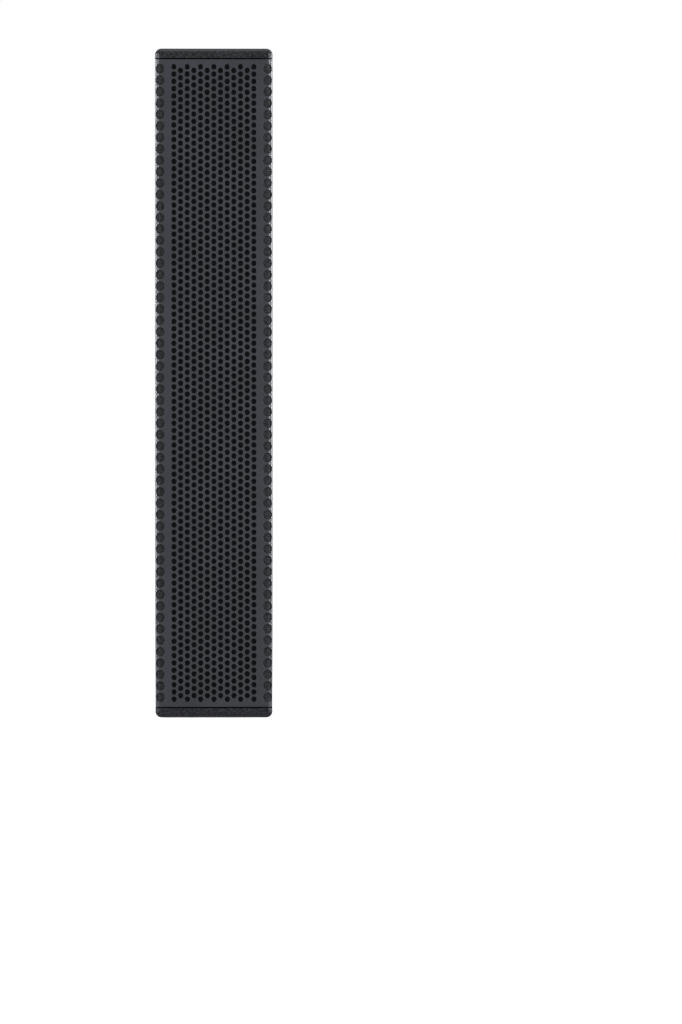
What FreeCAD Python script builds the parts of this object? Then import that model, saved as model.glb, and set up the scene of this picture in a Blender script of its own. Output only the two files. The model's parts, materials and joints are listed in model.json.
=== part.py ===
"""Column loudspeaker: a slim plywood cabinet, a perforated steel grille and six full-range drivers.

Frame: origin at the centre of the base, +Z up, +X to the right of a listener facing the grille,
-Y towards that listener. Lengths are in millimetres. Each driver is drawn about its own axis,
with 0 on the baffle's front face and positive lengths towards the back of the cabinet.
"""

import FreeCAD
import Part

import math
import os

import Sketcher

Vector = FreeCAD.Vector

# ---------------------------------------------------------------------------------------------
# Driving dimensions. Each name becomes an alias in the spreadsheet.
# ---------------------------------------------------------------------------------------------

DIMENSIONS = {
    # cabinet
    "cab_width": 110.0,
    "cab_depth": 128.0,
    "cab_height": 626.0,
    "panel": 9.0,
    "edge_radius": 6.0,
    "baffle_thick": 12.0,
    "baffle_setback": 19.0,
    "side_setback": 9.0,
    "brace_side_margin": 9.0,
    "brace_end_margin": 5.0,
    "brace_corner": 6.0,
    # steel grille
    "grille_thick": 1.2,
    "grille_setback": 1.0,
    "grille_end_gap": 1.2,
    "grille_bend": 6.0,
    "grille_return": 18.0,
    "grille_rebate": 1.5,
    "rebate_clearance": 0.5,
    "grille_strip": 12.5,
    "small_hole": 5.0,
    "small_hole_pitch": 6.8,
    "small_column_pitch": 6.226,
    "edge_hole": 8.6,
    "edge_hole_pitch": 10.69,
    "edge_hole_past_bend": 1.3,
    "grille_screw_margin": 54.0,
    "grille_screw_setback": 14.0,
    "grille_head_radius": 3.2,
    "grille_shank_radius": 1.6,
    "grille_screw_length": 8.4,
    "fastener_gap": 0.15,
    "foam_gap": 0.3,
    "foam_thick": 6.0,
    # drivers
    "driver_pitch": 94.0,
    "flange_radius": 41.0,
    "flange_thick": 3.0,
    "basket_radius": 34.5,
    "basket_wall": 1.5,
    "ledge_radius": 28.5,
    "ledge_depth": 12.0,
    "hub_radius": 25.5,
    "hub_bore": 12.3,
    "motor_depth": 22.0,
    "window_inner": 29.2,
    "window_outer": 33.0,
    "window_angle": 32.0,
    "cutout_radius": 35.0,
    "screw_circle": 38.0,
    "flange_hole": 2.2,
    "cone_radius": 27.0,
    "cone_lip": 2.5,
    "cone_thick": 0.8,
    "cone_flare_thick": 1.28,
    "cone_depth": 8.0,
    "glue_line": 0.1,
    "surround_thick": 0.6,
    "surround_inner": 26.8,
    "surround_outer": 33.0,
    "surround_rim": 34.6,
    "cap_radius": 13.0,
    "cap_height": 3.6,
    "cap_thick": 0.6,
    "former_inner": 9.8,
    "former_outer": 10.2,
    "former_end": 31.5,
    "winding_radius": 10.7,
    "winding_start": 21.5,
    "winding_inset": 0.5,
    "spider_thick": 0.6,
    "spider_wave": 1.3,
    "spider_clearance": 0.3,
    "spider_flat_inset": 0.5,
    "spider_rim_gap": 0.3,
    "plate_radius": 27.0,
    "plate_thick": 4.0,
    "plate_bore": 11.3,
    "magnet_radius": 30.0,
    "magnet_bore": 14.0,
    "magnet_thick": 10.0,
    "pole_radius": 9.2,
    "motor_chamfer": 1.0,
    "wood_screw_head": 3.0,
    "wood_screw_head_height": 2.0,
    "wood_screw_radius": 1.75,
    "wood_screw_length": 10.0,
    "screw_head_chamfer": 0.8,
    # terminal plate and its twist-lock socket
    "socket_height": 134.4,
    "terminal_width": 61.0,
    "terminal_height": 75.0,
    "terminal_thick": 2.0,
    "terminal_corner": 3.0,
    "terminal_recess": 2.2,
    "terminal_gap": 0.4,
    "terminal_screw_x": 24.2,
    "terminal_screw_z": 32.5,
    "terminal_hole": 2.1,
    "plate_screw_length": 8.0,
    "terminal_opening_x": 19.0,
    "terminal_opening_z": 26.0,
    "socket_flange_width": 26.0,
    "socket_flange_height": 31.0,
    "socket_flange_thick": 1.5,
    "socket_lip": 0.5,
    "socket_lip_radius": 11.3,
    "socket_body_radius": 11.8,
    "socket_body_depth": 18.0,
    "socket_floor": 2.0,
    "socket_bore": 9.9,
    "socket_core": 6.75,
    "socket_core_recess": 1.0,
    "socket_core_bore": 2.9,
    "keyway_width": 3.6,
    "keyway_depth": 0.9,
    "keyway_start": 7.75,
    "socket_screw_x": 9.5,
    "socket_screw_z": 12.0,
    "socket_screw_head": 2.8,
    "socket_screw_radius": 1.5,
    "socket_screw_length": 8.0,
    "contact_width": 3.0,
    "contact_thick": 0.7,
    "contact_radius": 7.0,
    "contact_front": 5.0,
    "contact_tail": 7.0,
    # rigging inserts
    "insert_front": 20.0,
    "insert_rear": 40.0,
    "insert_radius": 6.0,
    "insert_bore": 3.4,
    "insert_flange_radius": 9.5,
    "insert_flange_thick": 1.5,
    # crossover, wiring and damping
    "board_half_width": 36.0,
    "board_bottom": 240.0,
    "board_height": 100.0,
    "board_thick": 1.6,
    "coil_radius": 14.0,
    "coil_bore": 6.0,
    "coil_thick": 11.0,
    "coil_offset": 16.0,
    "coil_rise": 68.0,
    "capacitor_radius": 6.5,
    "capacitor_length": 26.0,
    "capacitor_rise": 12.0,
    "capacitor_pitch": 16.0,
    "resistor_length": 22.0,
    "resistor_side": 8.0,
    "resistor_offset": 6.0,
    "resistor_rise": 16.0,
    "resistor_pitch": 18.0,
    "wire_radius": 1.2,
    "bus_offset": 34.0,
    "bus_setback": 8.0,
    "bus_overrun": 8.0,
    "lug_thick": 0.8,
    "lug_height": 4.0,
    "feed_rise": 5.0,
    "feed_drop": 2.0,
    "feed_run": 12.0,
    "feed_bend": 5.0,
    "wool_half_width": 42.0,
    "wool_front": 2.0,
    "wool_back": 50.0,
    "wool_bottom": 414.0,
    "wool_top": 606.0,
}

DRIVER_COUNT = 6
SMALL_COLUMNS = 13
SMALL_ROWS = 88
EDGE_HOLES = 56
SCREWS_PER_DRIVER = 4
SPIDER_WAVES = 4
BASKET_WINDOWS = 4
CONTACTS = 4
CAPACITORS = 3
RESISTORS = 2

TOLERANCE = 1e-6
SMALL_VOLUME = 1e-3
CUT_MARGIN = 1.0  # how far a cutter reaches past the face that it cuts
HALF_CIRCLE_SLACK = 1.0001  # keeps an arc just under a half turn

document = FreeCAD.newDocument("ColumnSpeaker")


# ---------------------------------------------------------------------------------------------
# Lengths that carry both a number and the sheet expression behind it
# ---------------------------------------------------------------------------------------------


class Length:
    """A number together with the spreadsheet expression that gives it."""

    def __init__(self, value, text):
        self.value = float(value)
        self.text = text

    def __add__(self, other):
        other = as_length(other)
        return Length(self.value + other.value, f"({self.text} + {other.text})")

    def __sub__(self, other):
        other = as_length(other)
        return Length(self.value - other.value, f"({self.text} - {other.text})")

    def __mul__(self, factor):
        return Length(self.value * factor, f"({self.text} * {factor!r})")

    def __truediv__(self, divisor):
        return Length(self.value / divisor, f"({self.text} / {divisor!r})")

    def __neg__(self):
        return Length(-self.value, f"(0 - {self.text})")


def as_length(number):
    """Any plain number becomes a Length; a Length stays as it is."""
    if isinstance(number, Length):
        return number
    return Length(number, repr(float(number)))


def make_sheet():
    """The spreadsheet of driving dimensions, one aliased cell for each."""
    sheet = document.addObject("Spreadsheet::Sheet", "dims")
    for row, (alias, number) in enumerate(DIMENSIONS.items(), start=1):
        sheet.set(f"A{row}", alias)
        sheet.set(f"B{row}", str(number))
        sheet.setAlias(f"B{row}", alias)
    document.recompute()
    return sheet


SHEET = make_sheet()
DIM = {alias: Length(getattr(SHEET, alias), f"dims.{alias}") for alias in DIMENSIONS}
ZERO = as_length(0)

# Lengths that several parts share
HALF_WIDTH = DIM["cab_width"] / 2
INNER_HALF_WIDTH = HALF_WIDTH - DIM["panel"]
OVERALL_DEPTH = DIM["cab_depth"] + DIM["socket_flange_thick"] + DIM["socket_lip"]
FRONT = -(OVERALL_DEPTH / 2)
BACK = FRONT + DIM["cab_depth"]
REAR_PANEL_INNER = BACK - DIM["panel"]
FLOOR = DIM["panel"]
CEILING = DIM["cab_height"] - DIM["panel"]
MIDDLE = DIM["cab_height"] / 2
BAFFLE_FRONT = FRONT + DIM["baffle_setback"]
BAFFLE_BACK = BAFFLE_FRONT + DIM["baffle_thick"]
SIDE_FRONT = FRONT + DIM["side_setback"]
GRILLE_FRONT = FRONT + DIM["grille_setback"]
GRILLE_BACK = GRILLE_FRONT + DIM["grille_return"]
GRILLE_BOTTOM = FLOOR + DIM["grille_end_gap"]
GRILLE_TOP = CEILING - DIM["grille_end_gap"]
SCREW_HOLE = DIM["wood_screw_radius"] + DIM["fastener_gap"]


def driver_height(index):
    """Height of driver 0 to 5's axis, the row being centred on the cabinet."""
    return MIDDLE + DIM["driver_pitch"] * (index - (DRIVER_COUNT - 1) / 2)


# ---------------------------------------------------------------------------------------------
# Sketches and features
# ---------------------------------------------------------------------------------------------


def make_body(label):
    """An empty PartDesign body."""
    body = document.addObject("PartDesign::Body", label)
    body.Label = label
    return body


def origin_feature(body, role):
    """One of the body's own origin planes or axes."""
    return next(item for item in body.Origin.OriginFeatures if item.Role == role)


def make_sketch(body, role, offset=ZERO):
    """A sketch on one of the body's origin planes, moved along its normal by the offset."""
    sketch = body.newObject("Sketcher::SketchObject", f"{body.Name}_sketch")
    sketch.AttachmentSupport = [(origin_feature(body, role), "")]
    sketch.MapMode = "FlatFace"
    if offset is not ZERO:
        sketch.AttachmentOffset.Base.z = offset.value
        sketch.setExpression("AttachmentOffset.Base.z", offset.text)
    return sketch


def pin_point(sketch, edge, place, x, y):
    """Ties one sketch point to the origin by lengths read from the sheet."""
    for kind, coordinate, axis in (("DistanceX", x, -2), ("DistanceY", y, -1)):
        if coordinate is ZERO:
            sketch.addConstraint(Sketcher.Constraint("PointOnObject", edge, place, axis))
            continue
        constraint = Sketcher.Constraint(kind, -1, 1, edge, place, coordinate.value)
        number = sketch.addConstraint(constraint)
        sketch.setExpression(f"Constraints[{number}]", coordinate.text)


def arc_between(start, end, radius):
    """A circular arc; a positive radius turns left from start to end, a negative one right."""
    chord = end - start
    reach = math.sqrt(max(radius**2 - (chord.Length / 2) ** 2, 0))
    across = Vector(-chord.y, chord.x, 0).normalize() * math.copysign(reach, radius)
    centre = (start + end) / 2 + across
    first, last = (start, end) if radius > 0 else (end, start)
    angles = [math.atan2(point.y - centre.y, point.x - centre.x) for point in (first, last)]
    if angles[1] < angles[0]:
        angles[1] += 2 * math.pi
    circle = Part.Circle(centre, Vector(0, 0, 1), abs(radius))
    return Part.ArcOfCircle(circle, *angles)


def draw_outline(sketch, corners, arcs=None):
    """A closed loop through the corners. arcs gives a signed radius to the edge after a corner."""
    arcs = arcs or {}
    points = [Vector(x.value, y.value, 0) for x, y in corners]
    first = sketch.GeometryCount
    ends = []
    for index, start in enumerate(points):
        end = points[(index + 1) % len(points)]
        if index in arcs:
            sketch.addGeometry(arc_between(start, end, arcs[index].value), False)
            ends.append((1, 2) if arcs[index].value > 0 else (2, 1))
        else:
            sketch.addGeometry(Part.LineSegment(start, end), False)
            ends.append((1, 2))
    count = len(points)
    for index in range(count):
        following = (index + 1) % count
        joint = (first + index, ends[index][1], first + following, ends[following][0])
        sketch.addConstraint(Sketcher.Constraint("Coincident", *joint))
    for index, (x, y) in enumerate(corners):
        pin_point(sketch, first + index, ends[index][0], x, y)
    for index, radius in arcs.items():
        size = radius if radius.value > 0 else -radius
        constraint = Sketcher.Constraint("Radius", first + index, size.value)
        number = sketch.addConstraint(constraint)
        sketch.setExpression(f"Constraints[{number}]", size.text)


def draw_rectangle(sketch, left, right, bottom, top):
    """A closed rectangle."""
    draw_outline(sketch, [(left, bottom), (right, bottom), (right, top), (left, top)])


def draw_circle(sketch, x, y, radius):
    """A full circle tied to the sheet by its centre and radius."""
    centre = Vector(x.value, y.value, 0)
    circle = Part.Circle(centre, Vector(0, 0, 1), radius.value)
    edge = sketch.addGeometry(circle, False)
    pin_point(sketch, edge, 3, x, y)
    number = sketch.addConstraint(Sketcher.Constraint("Radius", edge, radius.value))
    sketch.setExpression(f"Constraints[{number}]", radius.text)


def pad(body, sketch, length):
    """Extrudes the sketch along its normal."""
    feature = body.newObject("PartDesign::Pad", f"{body.Name}_pad")
    feature.Profile = sketch
    feature.Length = length.value
    feature.setExpression("Length", length.text)
    document.recompute()
    return feature


def pocket(body, sketch, depth=None):
    """Cuts the sketch out of the body: against its normal by a depth, or right through."""
    before = body.Shape.Volume
    feature = body.newObject("PartDesign::Pocket", f"{body.Name}_pocket")
    feature.Profile = sketch
    if depth is None:
        feature.Type = "ThroughAll"
        feature.Midplane = True
    else:
        feature.Length = depth.value
        feature.setExpression("Length", depth.text)
    document.recompute()
    if not body.Shape.Volume < before - SMALL_VOLUME:
        raise RuntimeError(f"{feature.Name} cuts nothing")
    return feature


def fillet(body, radius, wanted):
    """Rounds the edges of the body's last feature that the test picks out."""
    base = body.Tip
    edges = [
        f"Edge{number}"
        for number, edge in enumerate(base.Shape.Edges, start=1)
        if wanted(edge.BoundBox)
    ]
    feature = body.newObject("PartDesign::Fillet", f"{body.Name}_fillet")
    feature.Base = (base, edges)
    feature.Radius = radius.value
    feature.setExpression("Radius", radius.text)
    document.recompute()
    return feature


def revolve(body, corners, arcs=None):
    """Turns an outline of (radius, axial) corners about the body's Z axis."""
    sketch = make_sketch(body, "XZ_Plane")
    draw_outline(sketch, corners, arcs)
    feature = body.newObject("PartDesign::Revolution", f"{body.Name}_turned")
    feature.Profile = sketch
    feature.ReferenceAxis = (origin_feature(body, "Z_Axis"), [""])
    feature.Angle = 360
    document.recompute()
    return feature


def make_box(label, low, high):
    """A Part::Box between two corners given as Lengths."""
    box = document.addObject("Part::Box", label)
    box.Label = label
    for prop, start, end in zip(("Length", "Width", "Height"), low, high):
        setattr(box, prop, end.value - start.value)
        box.setExpression(prop, (end - start).text)
    for axis, start in zip("xyz", low):
        box.setExpression(f"Placement.Base.{axis}", start.text)
    document.recompute()
    return box


def make_cut(label, base, tool):
    """A Part::Cut, checked to have removed something."""
    cut = document.addObject("Part::Cut", label)
    cut.Label = label
    cut.Base = base
    cut.Tool = tool
    document.recompute()
    if not cut.Shape.Volume < base.Shape.Volume - SMALL_VOLUME:
        raise RuntimeError(f"{label} cuts nothing")
    return cut


def make_feature(label, shape, placement=None):
    """A Part::Feature for a shape that only Part's own functions can make."""
    feature = document.addObject("Part::Feature", label)
    feature.Label = label
    feature.Shape = shape
    feature.Placement = placement or FreeCAD.Placement()
    return feature


def turned(corners):
    """A solid of revolution about Z from (radius, axial) pairs of plain numbers."""
    points = [Vector(radius, 0, axial) for radius, axial in corners]
    wire = Part.makePolygon([*points, points[0]])
    return Part.Face(wire).revolve(Vector(), Vector(0, 0, 1), 360)


BACKWARDS = FreeCAD.Rotation(Vector(1, 0, 0), -90)
FORWARDS = FreeCAD.Rotation(Vector(1, 0, 0), 90)


def copies(shape, positions, rotation=None):
    """Separate copies of one solid, the solid's own Z axis turned by the rotation."""
    turn = rotation or FreeCAD.Rotation()
    placed = []
    for position in positions:
        piece = shape.copy()
        piece.Placement = FreeCAD.Placement(position, turn)
        placed.append(piece)
    return Part.makeCompound(placed)


# ---------------------------------------------------------------------------------------------
# Cabinet
# ---------------------------------------------------------------------------------------------


def end_panel(label, bottom, outer_is_top):
    """The top or bottom panel: its outer edges and upright corners are all rounded."""
    body = make_body(label)
    sketch = make_sketch(body, "XY_Plane", bottom)
    draw_rectangle(sketch, -HALF_WIDTH, HALF_WIDTH, FRONT, BACK)
    pad(body, sketch, DIM["panel"])
    fillet(body, DIM["edge_radius"], lambda box: box.ZLength > TOLERANCE)
    outer = bottom.value + (DIM["panel"].value if outer_is_top else 0)
    fillet(
        body,
        DIM["edge_radius"],
        lambda box: box.ZLength < TOLERANCE and abs(box.ZMin - outer) < TOLERANCE,
    )
    holes = make_sketch(body, "XY_Plane", bottom)
    for y in (-DIM["insert_front"], DIM["insert_rear"]):
        draw_circle(holes, ZERO, y, DIM["insert_radius"] + DIM["fastener_gap"])
    pocket(body, holes)
    return body


def side_panel(label, side):
    """A side panel, thinned at the front for the grille's return, its rear edge rounded."""
    body = make_body(label)
    sketch = make_sketch(body, "XY_Plane", FLOOR)
    rebate_x = HALF_WIDTH - DIM["grille_rebate"]
    rebate_y = GRILLE_BACK + DIM["rebate_clearance"]
    section = [
        (INNER_HALF_WIDTH, SIDE_FRONT),
        (rebate_x, SIDE_FRONT),
        (rebate_x, rebate_y),
        (HALF_WIDTH, rebate_y),
        (HALF_WIDTH, BACK),
        (INNER_HALF_WIDTH, BACK),
    ]
    draw_outline(sketch, [(x * side, y) for x, y in section])
    pad(body, sketch, CEILING - FLOOR)
    outer = HALF_WIDTH.value * side
    fillet(
        body,
        DIM["edge_radius"],
        lambda box: box.XLength < TOLERANCE
        and abs(box.XMin - outer) < TOLERANCE
        and abs(box.YMin - BACK.value) < TOLERANCE
        and box.YLength < TOLERANCE,
    )
    holes = make_sketch(body, "YZ_Plane")
    for height in grille_screw_heights():
        radius = DIM["grille_shank_radius"] + DIM["fastener_gap"]
        draw_circle(holes, GRILLE_FRONT + DIM["grille_screw_setback"], height, radius)
    pocket(body, holes)
    return body


def flat_panel(label, back, thickness):
    """An upright board across the cabinet, between the side panels."""
    body = make_body(label)
    sketch = make_sketch(body, "XZ_Plane", -back)
    draw_rectangle(sketch, -INNER_HALF_WIDTH, INNER_HALF_WIDTH, FLOOR, CEILING)
    pad(body, sketch, thickness)
    return body


def front_baffle():
    """The board that carries the drivers, with their openings and screw holes."""
    body = flat_panel("front_baffle", BAFFLE_BACK, DIM["baffle_thick"])
    openings = make_sketch(body, "XZ_Plane", -BAFFLE_BACK)
    reach = DIM["screw_circle"] / math.sqrt(2)
    for index in range(DRIVER_COUNT):
        height = driver_height(index)
        draw_circle(openings, ZERO, height, DIM["cutout_radius"])
        for x in (-reach, reach):
            for z in (height - reach, height + reach):
                draw_circle(openings, x, z, SCREW_HOLE)
    pocket(body, openings)
    return body


def rear_panel():
    """The back board, recessed and cut through for the terminal plate."""
    body = flat_panel("rear_panel", BACK, DIM["panel"])
    recess = make_sketch(body, "XZ_Plane", -BACK + DIM["terminal_recess"])
    half_width = DIM["terminal_width"] / 2 + DIM["terminal_gap"]
    half_height = DIM["terminal_height"] / 2 + DIM["terminal_gap"]
    socket = DIM["socket_height"]
    draw_rectangle(recess, -half_width, half_width, socket - half_height, socket + half_height)
    pocket(body, recess, DIM["terminal_recess"])
    opening = make_sketch(body, "XZ_Plane", -BACK)
    half_x = DIM["terminal_opening_x"]
    half_z = DIM["terminal_opening_z"]
    draw_rectangle(opening, -half_x, half_x, socket - half_z, socket + half_z)
    for x in (-DIM["terminal_screw_x"], DIM["terminal_screw_x"]):
        for z in (socket - DIM["terminal_screw_z"], socket + DIM["terminal_screw_z"]):
            draw_circle(opening, x, z, SCREW_HOLE)
    pocket(body, opening)
    return body


def brace(label, height):
    """A stiffening shelf with a large rounded window."""
    low = (-INNER_HALF_WIDTH, BAFFLE_BACK, height - DIM["panel"] / 2)
    high = (INNER_HALF_WIDTH, REAR_PANEL_INNER, height + DIM["panel"] / 2)
    board = make_box(f"{label}_board", low, high)
    margin_x = DIM["brace_side_margin"]
    margin_y = DIM["brace_end_margin"]
    window_low = (low[0] + margin_x, low[1] + margin_y, low[2] - CUT_MARGIN)
    window_high = (high[0] - margin_x, high[1] - margin_y, high[2] + CUT_MARGIN)
    window = make_box(f"{label}_window", window_low, window_high)
    rounded = document.addObject("Part::Fillet", f"{label}_rounded_window")
    rounded.Base = window
    upright = [
        (number, DIM["brace_corner"].value, DIM["brace_corner"].value)
        for number, edge in enumerate(window.Shape.Edges, start=1)
        if edge.BoundBox.ZLength > TOLERANCE
    ]
    rounded.Edges = upright
    document.recompute()
    return make_cut(label, board, rounded)


def braces():
    """Two shelves, one below the second pair of drivers and one above it."""
    shelves = document.addObject("Part::Compound", "braces")
    shelves.Label = "braces"
    offset = DIM["driver_pitch"]
    shelves.Links = [
        brace("lower_brace", MIDDLE - offset),
        brace("upper_brace", MIDDLE + offset),
    ]
    document.recompute()
    return shelves


def threaded_inserts():
    """Flanged M8 inserts in the top and bottom panels, two in each."""
    length = DIM["panel"].value
    corners = [
        (DIM["insert_bore"].value, 0),
        (DIM["insert_radius"].value, 0),
        (DIM["insert_radius"].value, length),
        (DIM["insert_flange_radius"].value, length),
        (DIM["insert_flange_radius"].value, length + DIM["insert_flange_thick"].value),
        (DIM["insert_bore"].value, length + DIM["insert_flange_thick"].value),
    ]
    insert = turned(corners)
    places = [-DIM["insert_front"].value, DIM["insert_rear"].value]
    lower = copies(insert, [Vector(0, y, 0) for y in places])
    top = DIM["cab_height"].value
    upside_down = FreeCAD.Rotation(Vector(1, 0, 0), 180)
    upper = copies(insert, [Vector(0, y, top) for y in places], upside_down)
    return make_feature("threaded_inserts", Part.makeCompound(lower.Solids + upper.Solids))


# ---------------------------------------------------------------------------------------------
# Grille
# ---------------------------------------------------------------------------------------------


def grille_screw_heights():
    """Heights of the three screws in each of the grille's returns."""
    margin = DIM["grille_screw_margin"]
    return [margin, MIDDLE, DIM["cab_height"] - margin]


def perforated_face():
    """The grille's flat middle: staggered columns of small round holes."""
    edge = HALF_WIDTH.value - DIM["grille_strip"].value
    bottom, top = GRILLE_BOTTOM.value, GRILLE_TOP.value
    corners = [(-edge, bottom), (edge, bottom), (edge, top), (-edge, top), (-edge, bottom)]
    wires = [Part.makePolygon([Vector(x, 0, z) for x, z in corners])]
    pitch = DIM["small_hole_pitch"].value
    for column in range(SMALL_COLUMNS):
        x = (column - (SMALL_COLUMNS - 1) / 2) * DIM["small_column_pitch"].value
        rows = SMALL_ROWS - column % 2
        for row in range(rows):
            z = MIDDLE.value + (row - (rows - 1) / 2) * pitch
            hole = Part.makeCircle(DIM["small_hole"].value / 2, Vector(x, 0, z), Vector(0, 1, 0))
            wires.append(Part.Wire(hole))
    return Part.Face(wires).extrude(Vector(0, DIM["grille_thick"].value, 0))


def grille_edge_strip():
    """One side of the grille: a plain margin, the bend with its large holes, and the return."""
    thick = DIM["grille_thick"].value
    bend = DIM["grille_bend"].value
    inner_bend = bend - thick
    half = HALF_WIDTH.value
    start = half - DIM["grille_strip"].value
    depth = DIM["grille_return"].value
    centre = Vector(half - bend, bend, 0)
    slant = Vector(math.sqrt(0.5), -math.sqrt(0.5), 0)
    outer_arc = Part.Arc(Vector(half - bend, 0, 0), centre + slant * bend, Vector(half, bend, 0))
    inner_arc = Part.Arc(
        Vector(half - thick, bend, 0),
        centre + slant * inner_bend,
        Vector(half - bend, thick, 0),
    )
    path = [
        Part.LineSegment(Vector(start, 0, 0), Vector(half - bend, 0, 0)),
        outer_arc,
        Part.LineSegment(Vector(half, bend, 0), Vector(half, depth, 0)),
        Part.LineSegment(Vector(half, depth, 0), Vector(half - thick, depth, 0)),
        Part.LineSegment(Vector(half - thick, depth, 0), Vector(half - thick, bend, 0)),
        inner_arc,
        Part.LineSegment(Vector(half - bend, thick, 0), Vector(start, thick, 0)),
        Part.LineSegment(Vector(start, thick, 0), Vector(start, 0, 0)),
    ]
    section = Part.Face(Part.Wire([curve.toShape() for curve in path]))
    strip = section.extrude(Vector(0, 0, GRILLE_TOP.value - GRILLE_BOTTOM.value))
    strip.translate(Vector(0, 0, GRILLE_BOTTOM.value))
    return strip.cut(Part.makeCompound(edge_hole_cutters() + dimple_cutters()))


def edge_hole_cutters():
    """Cylinders that cut the large holes square to the bend, a little way round it."""
    bend = DIM["grille_bend"].value
    angle = DIM["edge_hole_past_bend"].value / (bend - DIM["grille_thick"].value / 2)
    outward = Vector(math.sin(angle), -math.cos(angle), 0)
    depth = bend + CUT_MARGIN
    cutters = []
    for row in range(EDGE_HOLES):
        z = MIDDLE.value + (row - (EDGE_HOLES - 1) / 2) * DIM["edge_hole_pitch"].value
        start = Vector(HALF_WIDTH.value - bend, bend, z) + outward * depth
        cutters.append(Part.makeCylinder(DIM["edge_hole"].value / 2, depth, start, -outward))
    return cutters


def dimple_cutters():
    """Cones for the countersunk screws in a return."""
    gap = DIM["fastener_gap"].value
    head = DIM["grille_head_radius"].value + gap
    shank = DIM["grille_shank_radius"].value + gap
    y = DIM["grille_screw_setback"].value
    return [
        Part.makeCone(
            head,
            shank,
            DIM["grille_thick"].value,
            Vector(HALF_WIDTH.value, y, height.value),
            Vector(-1, 0, 0),
        )
        for height in grille_screw_heights()
    ]


def grille():
    """One folded sheet of steel: a perforated front with a bend and a return on each side."""
    right = grille_edge_strip()
    left = right.mirror(Vector(), Vector(1, 0, 0))
    sheet = perforated_face().fuse([right, left])
    placement = FreeCAD.Placement(Vector(0, GRILLE_FRONT.value, 0), FreeCAD.Rotation())
    return make_feature("grille", sheet.Solids[0], placement)


def grille_foam():
    """The open-cell foam sheet behind the grille, rounded where it lines the bends."""
    body = make_body("grille_foam")
    sketch = make_sketch(body, "XY_Plane", GRILLE_BOTTOM + DIM["foam_gap"])
    inset = DIM["grille_thick"] + DIM["foam_gap"]
    half = HALF_WIDTH - inset
    front = GRILLE_FRONT + inset
    back = front + DIM["foam_thick"]
    draw_rectangle(sketch, -half, half, front, back)
    pad(body, sketch, GRILLE_TOP - GRILLE_BOTTOM - DIM["foam_gap"] * 2)
    fillet(
        body,
        DIM["grille_bend"] - inset,
        lambda box: box.ZLength > TOLERANCE and abs(box.YMax - front.value) < TOLERANCE,
    )
    return body


def grille_screws():
    """Countersunk screws, flush in the grille's returns."""
    head = DIM["grille_head_radius"].value
    shank = DIM["grille_shank_radius"].value
    depth = DIM["grille_thick"].value
    length = DIM["grille_screw_length"].value
    screw = turned([(0, 0), (head, 0), (shank, depth), (shank, length - depth), (0, length)])
    y = GRILLE_FRONT.value + DIM["grille_screw_setback"].value
    solids = []
    for side in (-1, 1):
        inwards = FreeCAD.Rotation(Vector(0, 0, 1), Vector(-side, 0, 0))
        x = side * HALF_WIDTH.value
        places = [Vector(x, y, height.value) for height in grille_screw_heights()]
        solids += copies(screw, places, inwards).Solids
    return make_feature("grille_screws", Part.makeCompound(solids))


# ---------------------------------------------------------------------------------------------
# Drivers
# ---------------------------------------------------------------------------------------------


def place_driver_body(body, index):
    """Turns a driver's own axis to point backwards and sets it on the baffle."""
    body.Placement = FreeCAD.Placement(Vector(), BACKWARDS)
    body.setExpression("Placement.Base.y", BAFFLE_FRONT.text)
    body.setExpression("Placement.Base.z", driver_height(index).text)
    document.recompute()
    return body


def basket(index):
    """The pressed frame: flange, windowed wall, ledge for the spider and seat for the motor."""
    body = make_body(f"driver_{index + 1}_basket")
    wall = DIM["basket_wall"]
    rim = DIM["basket_radius"]
    seat = DIM["motor_depth"]
    inner_rim = DIM["surround_outer"]
    corners = [
        (inner_rim, -DIM["flange_thick"]),
        (DIM["flange_radius"], -DIM["flange_thick"]),
        (DIM["flange_radius"], ZERO),
        (rim, ZERO),
        (rim, DIM["flange_thick"]),
        (DIM["ledge_radius"] + wall, DIM["ledge_depth"] + wall),
        (DIM["hub_radius"] + wall, DIM["ledge_depth"] + wall),
        (DIM["hub_radius"] + wall, seat + wall),
        (DIM["hub_bore"], seat + wall),
        (DIM["hub_bore"], seat),
        (DIM["hub_radius"], seat),
        (DIM["hub_radius"], DIM["ledge_depth"]),
        (DIM["ledge_radius"], DIM["ledge_depth"]),
        (inner_rim, DIM["flange_thick"]),
    ]
    revolve(body, corners)
    windows = make_sketch(body, "XY_Plane")
    inner = DIM["window_inner"]
    outer = DIM["window_outer"]
    angle = math.radians(DIM["window_angle"].value)
    across = math.sin(angle)
    along = math.cos(angle)
    sector = [
        (inner * along, -(inner * across)),
        (outer * along, -(outer * across)),
        (outer * along, outer * across),
        (inner * along, inner * across),
    ]
    draw_outline(windows, sector, {1: outer, 3: -inner})
    cut = pocket(body, windows)
    pattern = body.newObject("PartDesign::PolarPattern", f"{body.Name}_windows")
    pattern.Originals = [cut]
    pattern.Axis = (origin_feature(body, "Z_Axis"), [""])
    pattern.Angle = 360
    pattern.Occurrences = BASKET_WINDOWS
    body.Tip = pattern
    document.recompute()
    screw_holes = make_sketch(body, "XY_Plane")
    reach = DIM["screw_circle"] / math.sqrt(2)
    for x in (-reach, reach):
        for y in (-reach, reach):
            draw_circle(screw_holes, x, y, DIM["flange_hole"])
    pocket(body, screw_holes)
    return place_driver_body(body, index)


def cone_line(radius):
    """Axial position of the cone's front face at a radius, between its lip and its neck."""
    lip = DIM["cone_radius"] - DIM["cone_lip"]
    run = lip.value - DIM["former_outer"].value
    drop = DIM["cone_depth"] + DIM["flange_thick"]
    share = (lip.value - radius.value) / run
    return drop * share - DIM["flange_thick"]


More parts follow.
